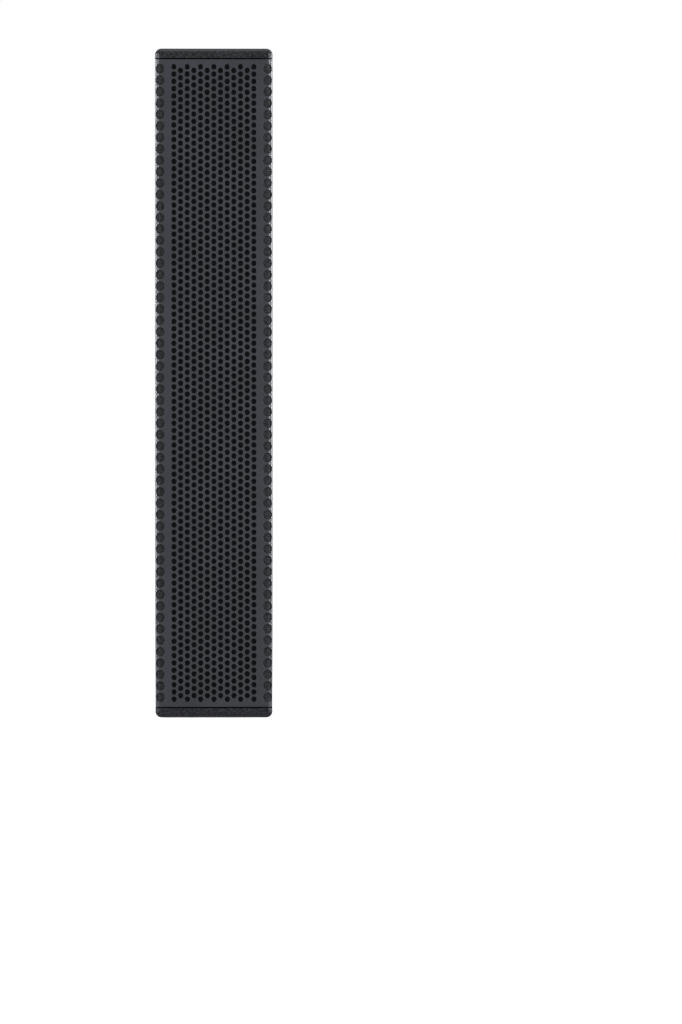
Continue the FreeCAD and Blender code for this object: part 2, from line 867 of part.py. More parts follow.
def cone(index):
    """The paper cone: a flat lip under the surround and a straight flare down to its neck."""
    body = make_body(f"driver_{index + 1}_cone")
    flare_thick = DIM["cone_flare_thick"]
    lip = DIM["cone_radius"] - DIM["cone_lip"]
    neck = DIM["former_outer"] + DIM["glue_line"]
    face = -DIM["flange_thick"]
    corners = [
        (DIM["cone_radius"], face),
        (DIM["cone_radius"], face + DIM["cone_thick"]),
        (lip, face + flare_thick),
        (neck, cone_line(neck) + flare_thick),
        (neck, cone_line(neck)),
        (lip, face),
    ]
    revolve(body, corners)
    return place_driver_body(body, index)


def dust_cap(index):
    """The shallow dome over the voice coil."""
    body = make_body(f"driver_{index + 1}_dust_cap")
    rim = DIM["cap_radius"]
    base = cone_line(rim) - DIM["glue_line"] * 2
    thick = DIM["cap_thick"]
    rise = DIM["cap_height"]
    outer_radius = (rim.value**2 + rise.value**2) / (2 * rise.value)
    inner_rim = rim.value - thick.value
    inner_rise = rise.value - thick.value
    inner_radius = (inner_rim**2 + inner_rise**2) / (2 * inner_rise)
    corners = [
        (ZERO, base - rise),
        (rim, base),
        (rim - thick, base),
        (ZERO, base - rise + thick),
    ]
    arcs = {0: rise * (outer_radius / rise.value), 2: -(rise * (inner_radius / rise.value))}
    revolve(body, corners, arcs)
    return place_driver_body(body, index)


def voice_coil(index):
    """The former and its winding, hanging in the magnetic gap."""
    body = make_body(f"driver_{index + 1}_voice_coil")
    outer = DIM["former_outer"]
    top = cone_line(outer)
    winding_end = DIM["former_end"] - DIM["winding_inset"]
    corners = [
        (DIM["former_inner"], top),
        (outer, top),
        (outer, DIM["winding_start"]),
        (DIM["winding_radius"], DIM["winding_start"]),
        (DIM["winding_radius"], winding_end),
        (outer, winding_end),
        (outer, DIM["former_end"]),
        (DIM["former_inner"], DIM["former_end"]),
    ]
    revolve(body, corners)
    return place_driver_body(body, index)


def surround(index):
    """The rubber half roll between the cone's lip and the basket's flange."""
    body = make_body(f"driver_{index + 1}_surround")
    thick = DIM["surround_thick"]
    back = -DIM["flange_thick"] - DIM["glue_line"]
    front = back - thick
    inner = DIM["surround_inner"]
    outer = DIM["surround_outer"]
    lip = DIM["cone_radius"] - DIM["cone_lip"]
    roll = (outer - inner) / 2
    half_chord = roll.value + thick.value
    outer_share = (half_chord**2 + roll.value**2) / (2 * roll.value**2)
    corners = [
        (lip, back),
        (inner, back),
        (outer, back),
        (DIM["surround_rim"], back),
        (DIM["surround_rim"], front),
        (outer + thick, front),
        (inner - thick, front),
        (lip, front),
    ]
    revolve(body, corners, {1: roll * HALF_CIRCLE_SLACK, 5: -(roll * outer_share)})
    return place_driver_body(body, index)


def spider(index):
    """The corrugated cloth ring that centres the voice coil."""
    body = make_body(f"driver_{index + 1}_spider")
    back = DIM["ledge_depth"] - DIM["glue_line"]
    front = back - DIM["spider_thick"]
    inner = DIM["former_outer"] + DIM["spider_clearance"]
    flat = DIM["hub_radius"] - DIM["spider_flat_inset"]
    step = (flat - inner) / (2 * SPIDER_WAVES)
    wave = DIM["spider_wave"]
    crests = [
        (inner + step * number, wave * (number % 2)) for number in range(2 * SPIDER_WAVES + 1)
    ]
    forward = [(radius, front - rise) for radius, rise in crests]
    backward = [(radius, back - rise) for radius, rise in reversed(crests)]
    rim = DIM["ledge_radius"] - DIM["spider_rim_gap"]
    revolve(body, [*forward, (rim, front), (rim, back), *backward])
    return place_driver_body(body, index)


def motor_part(label, corners):
    """Six copies of one turned part of the drivers' motors, as separate solids."""
    solid = turned(corners)
    places = [
        Vector(0, BAFFLE_FRONT.value, driver_height(index).value)
        for index in range(DRIVER_COUNT)
    ]
    return make_feature(label, copies(solid, places, BACKWARDS))


def motor_parts():
    """The drivers' top plates, ring magnets and yokes."""
    top = DIM["motor_depth"].value + DIM["basket_wall"].value
    magnet_top = top + DIM["plate_thick"].value
    yoke_top = magnet_top + DIM["magnet_thick"].value
    yoke_end = yoke_top + DIM["plate_thick"].value
    outer = DIM["plate_radius"].value
    bore = DIM["plate_bore"].value
    pole = DIM["pole_radius"].value
    ring = [(bore, top), (outer, top), (outer, magnet_top), (bore, magnet_top)]
    chamfer = DIM["motor_chamfer"].value
    magnet_bore = DIM["magnet_bore"].value
    magnet_outer = DIM["magnet_radius"].value
    magnet = [
        (magnet_bore, magnet_top),
        (magnet_outer - chamfer, magnet_top),
        (magnet_outer, magnet_top + chamfer),
        (magnet_outer, yoke_top - chamfer),
        (magnet_outer - chamfer, yoke_top),
        (magnet_bore, yoke_top),
    ]
    yoke = [
        (0, top),
        (pole, top),
        (pole, yoke_top),
        (outer, yoke_top),
        (outer, yoke_end - chamfer),
        (outer - chamfer, yoke_end),
        (0, yoke_end),
    ]
    return [
        motor_part("driver_top_plates", ring),
        motor_part("driver_magnets", magnet),
        motor_part("driver_yokes", yoke),
    ]


def pan_screw(head_radius, head_height, shank_radius, length):
    """A pan-head screw about Z, its seat at 0 and its shank towards +Z."""
    chamfer = DIM["screw_head_chamfer"].value
    corners = [
        (0, -head_height),
        (head_radius - chamfer, -head_height),
        (head_radius, -head_height + chamfer),
        (head_radius, 0),
        (shank_radius, 0),
        (shank_radius, length - shank_radius),
        (0, length),
    ]
    return turned(corners)


def wood_screw():
    """The screw that holds the drivers and the terminal plate."""
    return pan_screw(
        DIM["wood_screw_head"].value,
        DIM["wood_screw_head_height"].value,
        DIM["wood_screw_radius"].value,
        DIM["wood_screw_length"].value,
    )


def driver_screws():
    """Four screws through each driver's flange."""
    y = BAFFLE_FRONT.value - DIM["flange_thick"].value
    places = []
    for index in range(DRIVER_COUNT):
        for number in range(SCREWS_PER_DRIVER):
            angle = 2 * math.pi * (number + 0.5) / SCREWS_PER_DRIVER
            x = DIM["screw_circle"].value * math.cos(angle)
            z = driver_height(index).value + DIM["screw_circle"].value * math.sin(angle)
            places.append(Vector(x, y, z))
    return make_feature("driver_screws", copies(wood_screw(), places, BACKWARDS))


# ---------------------------------------------------------------------------------------------
# Terminal plate and socket
# ---------------------------------------------------------------------------------------------


def terminal_plate():
    """The flush metal plate that carries the socket."""
    body = make_body("terminal_plate")
    sketch = make_sketch(body, "XZ_Plane", -BACK)
    socket = DIM["socket_height"]
    half_width = DIM["terminal_width"] / 2
    half_height = DIM["terminal_height"] / 2
    draw_rectangle(sketch, -half_width, half_width, socket - half_height, socket + half_height)
    pad(body, sketch, DIM["terminal_thick"])
    fillet(body, DIM["terminal_corner"], lambda box: box.YLength > TOLERANCE)
    holes = make_sketch(body, "XZ_Plane", -BACK)
    draw_circle(holes, ZERO, socket, DIM["socket_body_radius"] + DIM["fastener_gap"])
    for x in (-DIM["terminal_screw_x"], DIM["terminal_screw_x"]):
        for z in (socket - DIM["terminal_screw_z"], socket + DIM["terminal_screw_z"]):
            draw_circle(holes, x, z, DIM["terminal_hole"])
    for side in (-1, 1):
        x = DIM["socket_screw_x"] * side
        z = socket + DIM["socket_screw_z"] * side
        draw_circle(holes, x, z, DIM["socket_screw_radius"] + DIM["fastener_gap"])
    pocket(body, holes)
    return body


def plate_screws():
    """Four pan-head screws at the terminal plate's corners."""
    places = [
        Vector(
            side * DIM["terminal_screw_x"].value,
            BACK.value,
            DIM["socket_height"].value + end * DIM["terminal_screw_z"].value,
        )
        for side in (-1, 1)
        for end in (-1, 1)
    ]
    screw = pan_screw(
        DIM["wood_screw_head"].value,
        DIM["socket_flange_thick"].value,
        DIM["wood_screw_radius"].value,
        DIM["plate_screw_length"].value,
    )
    return make_feature("plate_screws", copies(screw, places, FORWARDS))


def contact_angles():
    """The contacts' angles about the socket's axis, in degrees."""
    return [360 * (number + 0.5) / CONTACTS for number in range(CONTACTS)]


def connector_housing():
    """The socket's body: a flange, a lip, a deep annular bore with keyways and a hollow core."""
    body = make_body("socket_moulding")
    body.Placement = FreeCAD.Placement(Vector(), FORWARDS)
    body.setExpression("Placement.Base.y", BACK.text)
    body.setExpression("Placement.Base.z", DIM["socket_height"].text)
    face = -DIM["socket_flange_thick"]
    lip = face - DIM["socket_lip"]
    half_width = DIM["socket_flange_width"] / 2
    half_height = DIM["socket_flange_height"] / 2
    flange = make_sketch(body, "XY_Plane", face)
    draw_rectangle(flange, -half_width, half_width, -half_height, half_height)
    pad(body, flange, DIM["socket_flange_thick"])
    fillet(body, DIM["terminal_corner"], lambda box: box.ZLength > TOLERANCE)
    rim = make_sketch(body, "XY_Plane", lip)
    draw_circle(rim, ZERO, ZERO, DIM["socket_lip_radius"])
    pad(body, rim, DIM["socket_lip"])
    barrel = make_sketch(body, "XY_Plane")
    draw_circle(barrel, ZERO, ZERO, DIM["socket_body_radius"])
    pad(body, barrel, DIM["socket_body_depth"])
    cavity_depth = DIM["socket_body_depth"] - DIM["socket_floor"]
    bore = make_sketch(body, "XY_Plane", cavity_depth)
    draw_circle(bore, ZERO, ZERO, DIM["socket_bore"])
    draw_circle(bore, ZERO, ZERO, DIM["socket_core"])
    pocket(body, bore, cavity_depth - lip)
    keyways = make_sketch(body, "XY_Plane", cavity_depth)
    half_key = DIM["keyway_width"] / 2
    reach = DIM["socket_bore"] + DIM["keyway_depth"]
    draw_rectangle(keyways, -half_key, half_key, -reach, -DIM["keyway_start"])
    draw_rectangle(keyways, -half_key, half_key, DIM["keyway_start"], reach)
    pocket(body, keyways, cavity_depth - lip)
    core_bore = make_sketch(body, "XY_Plane", cavity_depth)
    draw_circle(core_bore, ZERO, ZERO, DIM["socket_core_bore"])
    pocket(body, core_bore, cavity_depth - lip)
    core_top = make_sketch(body, "XY_Plane", lip + DIM["socket_core_recess"])
    draw_circle(core_top, ZERO, ZERO, DIM["socket_core"] + DIM["fastener_gap"])
    pocket(body, core_top, DIM["socket_core_recess"])
    for angle in contact_angles():
        slot_for_contact(body, math.radians(angle))
    return make_cut("connector_housing", body, socket_countersinks())


def socket_countersinks():
    """Cones for the socket's two countersunk screws, on one diagonal of its flange."""
    cones = []
    for name, side in (("left", -1), ("right", 1)):
        cone_cutter = document.addObject("Part::Cone", f"socket_countersink_{name}")
        gap = DIM["fastener_gap"]
        sizes = {
            "Radius1": DIM["socket_screw_head"] + gap,
            "Radius2": DIM["socket_screw_radius"] + gap,
            "Height": DIM["socket_flange_thick"],
        }
        place = {
            "x": DIM["socket_screw_x"] * side,
            "y": BACK + DIM["socket_flange_thick"],
            "z": DIM["socket_height"] + DIM["socket_screw_z"] * side,
        }
        for prop, length in sizes.items():
            setattr(cone_cutter, prop, length.value)
            cone_cutter.setExpression(prop, length.text)
        cone_cutter.Placement.Rotation = FORWARDS
        for axis, coordinate in place.items():
            cone_cutter.setExpression(f"Placement.Base.{axis}", coordinate.text)
        cones.append(cone_cutter)
    group = document.addObject("Part::Compound", "socket_countersinks")
    group.Links = cones
    document.recompute()
    return group


def slot_for_contact(body, angle):
    """A slot through the socket's floor for one contact, turned to its angle."""
    sketch = make_sketch(body, "XY_Plane", DIM["socket_body_depth"])
    gap = DIM["fastener_gap"]
    near = DIM["contact_radius"] - gap
    far = DIM["contact_radius"] + DIM["contact_thick"] + gap
    half = DIM["contact_width"] / 2 + gap
    along = (math.cos(angle), math.sin(angle))
    rectangle = [(near, -half), (far, -half), (far, half), (near, half)]
    corners = [
        (radial * along[0] - across * along[1], radial * along[1] + across * along[0])
        for radial, across in rectangle
    ]
    draw_outline(sketch, corners)
    return pocket(body, sketch, DIM["socket_floor"] + DIM["fastener_gap"])


def connector_contacts():
    """Four metal blades that run through the socket's floor to their solder tails."""
    front = DIM["contact_front"].value
    end = DIM["socket_body_depth"].value + DIM["contact_tail"].value
    width = DIM["contact_width"].value
    blade = Part.makeBox(
        DIM["contact_thick"].value,
        width,
        end - front,
        Vector(DIM["contact_radius"].value, -width / 2, front),
    )
    blades = []
    for angle in contact_angles():
        piece = blade.copy()
        piece.rotate(Vector(), Vector(0, 0, 1), angle)
        blades.append(piece)
    place = Vector(0, BACK.value, DIM["socket_height"].value)
    return make_feature(
        "connector_contacts", Part.makeCompound(blades), FreeCAD.Placement(place, FORWARDS)
    )


def connector_screws():
    """Two countersunk machine screws on the socket's diagonal."""
    head = DIM["socket_screw_head"].value
    shank = DIM["socket_screw_radius"].value
    depth = DIM["socket_flange_thick"].value
    length = DIM["socket_screw_length"].value
    screw = turned([(0, 0), (head, 0), (shank, depth), (shank, length - shank), (0, length)])
    places = [
        Vector(
            side * DIM["socket_screw_x"].value,
            BACK.value + DIM["socket_flange_thick"].value,
            DIM["socket_height"].value + side * DIM["socket_screw_z"].value,
        )
        for side in (-1, 1)
    ]
    return make_feature("connector_screws", copies(screw, places, FORWARDS))


# ---------------------------------------------------------------------------------------------
# Crossover, wiring and damping
# ---------------------------------------------------------------------------------------------


def crossover_board():
    """The circuit board on the rear panel's inner face."""
    half = DIM["board_half_width"]
    low = (-half, REAR_PANEL_INNER - DIM["board_thick"], DIM["board_bottom"])
    high = (half, REAR_PANEL_INNER, DIM["board_bottom"] + DIM["board_height"])
    return make_box("crossover_board", low, high)


def crossover_components():
    """Two air coils, three film capacitors and two power resistors on the board."""
    face = REAR_PANEL_INNER.value - DIM["board_thick"].value
    bottom = DIM["board_bottom"].value
    forward = Vector(0, -1, 0)
    solids = []
    thick = DIM["coil_thick"].value
    for side in (-1, 1):
        x = side * DIM["coil_offset"].value
        centre = Vector(x, face, bottom + DIM["coil_rise"].value)
        coil = Part.makeCylinder(DIM["coil_radius"].value, thick, centre, forward)
        solids.append(coil.cut(Part.makeCylinder(DIM["coil_bore"].value, thick, centre, forward)))
    radius = DIM["capacitor_radius"].value
    length = DIM["capacitor_length"].value
    for number in range(CAPACITORS):
        z = bottom + DIM["capacitor_rise"].value + number * DIM["capacitor_pitch"].value
        start = Vector(-length, face - radius - DIM["glue_line"].value, z)
        solids.append(Part.makeCylinder(radius, length, start, Vector(1, 0, 0)))
    side = DIM["resistor_side"].value
    for number in range(RESISTORS):
        z = bottom + DIM["resistor_rise"].value + number * DIM["resistor_pitch"].value
        corner = Vector(DIM["resistor_offset"].value, face - side, z)
        solids.append(Part.makeBox(DIM["resistor_length"].value, side, side, corner))
    return make_feature("crossover_components", Part.makeCompound(solids))


def swept_wire(points, bend):
    """A round wire along straight runs joined by tangent arcs."""
    edges = []
    start = points[0]
    for before, corner, after in zip(points, points[1:], points[2:]):
        into = (before - corner).normalize()
        out = (after - corner).normalize()
        half_turn = (math.pi - into.getAngle(out)) / 2
        trim = bend * math.tan(half_turn)
        first = corner + into * trim
        last = corner + out * trim
        middle = corner + (into + out).normalize() * (bend / math.cos(half_turn) - bend)
        edges.append(Part.LineSegment(start, first).toShape())
        edges.append(Part.Arc(first, middle, last).toShape())
        start = last
    edges.append(Part.LineSegment(start, points[-1]).toShape())
    path = Part.Wire(edges)
    direction = points[1] - points[0]
    circle = Part.makeCircle(DIM["wire_radius"].value, points[0], direction)
    return path.makePipeShell([Part.Wire(circle)], True, False)


def internal_wiring():
    """The feed from the socket to the board, and the pair of wires that links the drivers."""
    radius = DIM["wire_radius"].value
    gap = DIM["glue_line"].value
    bus_x = DIM["bus_offset"].value
    bus_y = BAFFLE_BACK.value + DIM["bus_setback"].value
    low = driver_height(0).value - DIM["bus_overrun"].value
    high = driver_height(DRIVER_COUNT - 1).value + DIM["bus_overrun"].value
    lug_inner = DIM["hub_radius"].value + DIM["basket_wall"].value + gap
    lug_outer = bus_x - radius - gap
    lug_thick = DIM["lug_thick"].value
    lug_height = DIM["lug_height"].value
    board_end = REAR_PANEL_INNER.value - DIM["board_thick"].value - gap
    branch_height = DIM["board_bottom"].value + DIM["feed_rise"].value
    feed_height = branch_height - DIM["feed_drop"].value
    tail_end = BACK.value - DIM["socket_body_depth"].value - DIM["contact_tail"].value - gap
    reach = (DIM["contact_radius"].value + DIM["contact_thick"].value / 2) / math.sqrt(2)
    tail_height = DIM["socket_height"].value + reach
    turn = tail_end - DIM["feed_run"].value
    solids = []
    for side in (-1, 1):
        bus_start = Vector(side * bus_x, bus_y, low)
        solids.append(Part.makeCylinder(radius, high - low, bus_start))
        branch = Vector(side * bus_x, board_end, branch_height)
        branch_length = board_end - (bus_y + radius + gap)
        solids.append(Part.makeCylinder(radius, branch_length, branch, Vector(0, -1, 0)))
        x = side * reach
        points = [
            Vector(x, tail_end, tail_height),
            Vector(x, turn, tail_height),
            Vector(x, turn, feed_height),
            Vector(x, board_end, feed_height),
        ]
        solids.append(swept_wire(points, DIM["feed_bend"].value))
        for index in range(DRIVER_COUNT):
            lug = Part.makeBox(lug_outer - lug_inner, lug_thick, lug_height)
            lug_x = lug_inner if side > 0 else -lug_outer
            lug_z = driver_height(index).value - lug_height / 2
            lug.translate(Vector(lug_x, bus_y - lug_thick / 2, lug_z))
            solids.append(lug)
    return make_feature("internal_wiring", Part.makeCompound(solids))


def damping_wool():
    """A pad of damping fleece behind the upper drivers."""
    half = DIM["wool_half_width"]
    body = make_body("damping_wool")
    sketch = make_sketch(body, "XY_Plane", DIM["wool_bottom"])
    draw_rectangle(sketch, -half, half, DIM["wool_front"], DIM["wool_back"])
    pad(body, sketch, DIM["wool_top"] - DIM["wool_bottom"])
    fillet(body, DIM["edge_radius"], lambda box: box.ZLength > TOLERANCE)
    return body


# ---------------------------------------------------------------------------------------------
# Assembly and export
# ---------------------------------------------------------------------------------------------


def build():
    """Every sub-part, as objects whose labels name their files."""
    parts = [
        end_panel("top_panel", CEILING, True),
        end_panel("bottom_panel", ZERO, False),
        side_panel("side_panel_left", -1),
        side_panel("side_panel_right", 1),
        rear_panel(),
        front_baffle(),
        braces(),
        threaded_inserts(),
        grille(),
        grille_foam(),
        grille_screws(),
        driver_screws(),
        terminal_plate(),
        plate_screws(),
        connector_housing(),
        connector_contacts(),
        connector_screws(),
        crossover_board(),
        crossover_components(),
        internal_wiring(),
        damping_wool(),
    ]
    parts += motor_parts()
    for index in range(DRIVER_COUNT):
        for make in (basket, cone, dust_cap, voice_coil, surround, spider):
            parts.append(make(index))
    return parts


def check_objects(parts):
    """Stops on any failed feature and on any missing or invalid shape."""
    for item in document.Objects:
        if {"Invalid", "Error"} & set(item.State):
            raise RuntimeError(f"{item.Name} failed: {item.State}")
    for item in parts:
        if item.Shape.isNull() or not item.Shape.isValid():
            raise RuntimeError(f"{item.Label} has no valid shape")
        if not item.Shape.Solids:
            raise RuntimeError(f"{item.Label} has no solid")


def export(parts):
    """Writes each sub-part to a file of its own."""
    os.makedirs("parts", exist_ok=True)
    for item in parts:
        item.Shape.exportStep(os.path.join("parts", f"{item.Label}.step"))
        box = item.Shape.BoundBox
        size = f"{box.XLength:.1f} x {box.YLength:.1f} x {box.ZLength:.1f}"
        print(f"{item.Label}: {len(item.Shape.Solids)} solid(s), {size} mm")


PARTS = build()
document.recompute()
check_objects(PARTS)
export(PARTS)
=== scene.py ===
"""Looks of the column speaker: fine meshes and procedural materials around the CAD frame."""

import json
import math

import bmesh
import bpy
from mathutils import Matrix, Vector, noise
from mathutils.geometry import tessellate_polygon


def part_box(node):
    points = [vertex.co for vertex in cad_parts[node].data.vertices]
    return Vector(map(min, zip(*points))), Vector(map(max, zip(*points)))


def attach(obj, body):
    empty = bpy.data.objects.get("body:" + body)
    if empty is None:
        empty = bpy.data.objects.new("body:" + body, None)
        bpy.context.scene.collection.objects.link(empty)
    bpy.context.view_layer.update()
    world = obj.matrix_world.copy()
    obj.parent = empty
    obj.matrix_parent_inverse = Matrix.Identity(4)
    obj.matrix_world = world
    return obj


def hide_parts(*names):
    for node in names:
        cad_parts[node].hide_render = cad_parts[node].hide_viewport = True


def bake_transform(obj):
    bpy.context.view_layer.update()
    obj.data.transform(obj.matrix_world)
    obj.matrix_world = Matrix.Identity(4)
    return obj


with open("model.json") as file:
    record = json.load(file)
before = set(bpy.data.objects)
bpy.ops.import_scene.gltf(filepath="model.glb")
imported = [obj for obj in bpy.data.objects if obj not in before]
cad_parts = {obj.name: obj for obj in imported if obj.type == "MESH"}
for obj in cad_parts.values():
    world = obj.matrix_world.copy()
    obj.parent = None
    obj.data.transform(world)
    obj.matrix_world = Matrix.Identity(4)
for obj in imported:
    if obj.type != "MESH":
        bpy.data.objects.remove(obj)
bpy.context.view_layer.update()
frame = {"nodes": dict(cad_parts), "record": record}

MM = 0.001
ROOT = "cabinet"


# ---- Places and sizes, in millimetres. Places come from the frame.


def box_mm(node):
    """Lowest and highest corner of a CAD node."""
    low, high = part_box(node)
    return low / MM, high / MM


CABINET_LOW, CABINET_HIGH = box_mm("top_panel")
SIDE_LOW, SIDE_HIGH = box_mm("side_panel_right")
GRILLE_LOW, GRILLE_HIGH = box_mm("grille")
PLATE_LOW, PLATE_HIGH = box_mm("terminal_plate")
SOCKET_LOW, SOCKET_HIGH = box_mm("connector_housing")
HALF_WIDTH = CABINET_HIGH.x
FRONT = CABINET_LOW.y
BACK = CABINET_HIGH.y
HEIGHT = CABINET_HIGH.z
MIDDLE = HEIGHT / 2
SOCKET_Z = (PLATE_LOW.z + PLATE_HIGH.z) / 2

# cabinet
EDGE_RADIUS = 6.0
EDGE_STEPS = 10
REBATE_DEPTH = 1.5
REBATE_CLEARANCE = 0.5
PAINT_ROUND = 0.25
INSERT_Y = (-20.0, 40.0)
INSERT_RADIUS = 6.0
INSERT_FLANGE = 9.5
INSERT_LENGTH = 10.5
INSERT_BORE = 3.4
INSERT_SEGMENTS = 36
INSERT_BEVEL = 0.3
THREAD_DEPTH = 0.5
THREAD_PITCH = 1.25
THREAD_SAMPLES = 8
THREAD_LEAD = 0.4
THREAD_MOUTH = 0.7

# grille
GRILLE_THICK = 1.2
HALF_SHEET = GRILLE_THICK / 2
LAYERS = (HALF_SHEET, -HALF_SHEET)
GRILLE_BEND = 6.0
BEND_START = HALF_WIDTH - GRILLE_BEND
NEUTRAL_RADIUS = GRILLE_BEND - HALF_SHEET
BEND_LENGTH = NEUTRAL_RADIUS * math.pi / 2
RETURN_START = BEND_START + BEND_LENGTH
RETURN_END = RETURN_START + GRILLE_HIGH.y - GRILLE_LOW.y - GRILLE_BEND
BEND_REST_STEPS = 3
SMALL_COLUMNS = 13
SMALL_ROWS = 88
SMALL_RADIUS = 2.5
SMALL_PITCH = 6.8
COLUMN_PITCH = 6.226
SMALL_SEGMENTS = 18
CELL_SIDE = (COLUMN_PITCH**2 + (SMALL_PITCH / 2) ** 2) / (2 * COLUMN_PITCH)
CELL_TOP = COLUMN_PITCH - CELL_SIDE
EDGE_ROWS = 56
EDGE_HOLE_RADIUS = 4.3
EDGE_PITCH = 10.69
EDGE_CENTRE = BEND_START + 1.3
EDGE_SEGMENTS = 32
PUNCH_ROUND = 0.3
SCREW_HEIGHTS = (54.0, MIDDLE, HEIGHT - 54.0)
SCREW_Y = -50.0
DIMPLE_RADIUS = 3.35
DIMPLE_BORE = 1.75

# terminal plate and socket
PLATE_CORNER = 3.0
PLATE_BEVEL = 0.6
PLATE_SCREWS = ((-24.2, -32.5), (-24.2, 32.5), (24.2, -32.5), (24.2, 32.5))
PILOT_RADIUS = 1.9
PLATE_HOLE_RADIUS = 2.1
RECESS_GAP = 0.4
RECESS_DEPTH = 2.2
RECESS_CORNER = 1.0
OPENING_X = 19.0
OPENING_Z = 26.0
FLANGE_THICK = 1.5
FLANGE_EDGE = ((0.0, 0.5), (0.15, 0.15), (0.5, 0.0))
LIP_RADIUS = 11.3
LIP_BEVEL = 0.5
LIP_FADE = 0.25
BARREL_RADIUS = 11.8
BARREL_BEVEL = 0.5
SOCKET_BORE = 9.9
SOCKET_DEPTH = 16.0
CORE_RADIUS = 6.75
CORE_RECESS = 1.0
CORE_BEVEL = 0.4
CORE_BORE = 2.9
CORE_BORE_BEVEL = 0.3
KEYWAY_HALF = 1.8
KEYWAY_REACH = 10.8
ARC_STEPS = 28
SOCKET_SCREWS = ((9.5, 12.0), (-9.5, -12.0))
SOCKET_SCREW_HEAD = 2.8
SOCKET_SCREW_HOLE = 1.65
FASTENER_GAP = 0.15
CROSS_RISE = 0.5
CROSS_DEPTH = 0.95

# drivers, along each one's own axis from the baffle's face
BAFFLE_FRONT = box_mm("front_baffle")[0].y
SUSPENSION_THICK = 0.6
SURROUND_INNER = 26.8
SURROUND_OUTER = 33.0
SURROUND_LIP = 24.5
SURROUND_RIM = 34.6
SURROUND_BACK = -3.1
ROLL_STEPS = 14
SPIDER_INNER = 10.5
SPIDER_GLUED = 11.0
SPIDER_FLAT = 25.0
SPIDER_RIM = 28.2
SPIDER_BACK = 11.9
SPIDER_WAVE = 1.3
SPIDER_WAVES = 4
WAVE_STEPS = 10

# finishes: dark and light tones as linear reflectances, and the strength of the sheen
PAINT_TONES = (0.004, 0.030)
PAINT_SHEEN = 0.35
GRILLE_TONES = (0.032, 0.040)
GRILLE_SHEEN = 0.4
PLATE_TONES = (0.019, 0.025)
PLATE_SHEEN = 0.35
FLOOR_GLOW = 0.75
FOAM_PORE = (0.003, 0.003, 0.003)
FOAM_STRAND = (0.020, 0.021, 0.021)
# foam strand tone lightened as painted light beside the large holes, and the |x| band in mm over
# which that painted light fades in
FOAM_STRAND_LIT = (0.052, 0.054, 0.055)
FOAM_LIT_BAND = (43.0, 46.0)

# shader nodes: metres to one wave at scale 1, and a colour mix's inputs and output
UNIT_WAVE = 0.314
MIX_SOCKETS = (0, 6, 7)
MIX_COLOUR = 2


# ---- Mesh helpers. Every mesh is written in millimetres and stored in metres.


def polar(radius, angle):
    """The point at an angle on a circle."""
    return radius * math.cos(angle), radius * math.sin(angle)


def circle_points(radius, count):
    """Points round a circle, anticlockwise from the right."""
    return [polar(radius, 2 * math.pi * k / count) for k in range(count)]


def rounded_rectangle(half_x, half_y, radius, steps):
    """Points round a rectangle with rounded corners, anticlockwise from the right side."""
    points = []
    for number, (sign_x, sign_y) in enumerate(((1, 1), (-1, 1), (-1, -1), (1, -1))):
        for k in range(steps + 1):
            x, y = polar(radius, math.pi / 2 * (number + k / steps))
            points.append((sign_x * (half_x - radius) + x, sign_y * (half_y - radius) + y))
    return points


def add_object(name, data):
    """A new object in the scene."""
    thing = bpy.data.objects.new(name, data)
    bpy.context.scene.collection.objects.link(thing)
    return thing


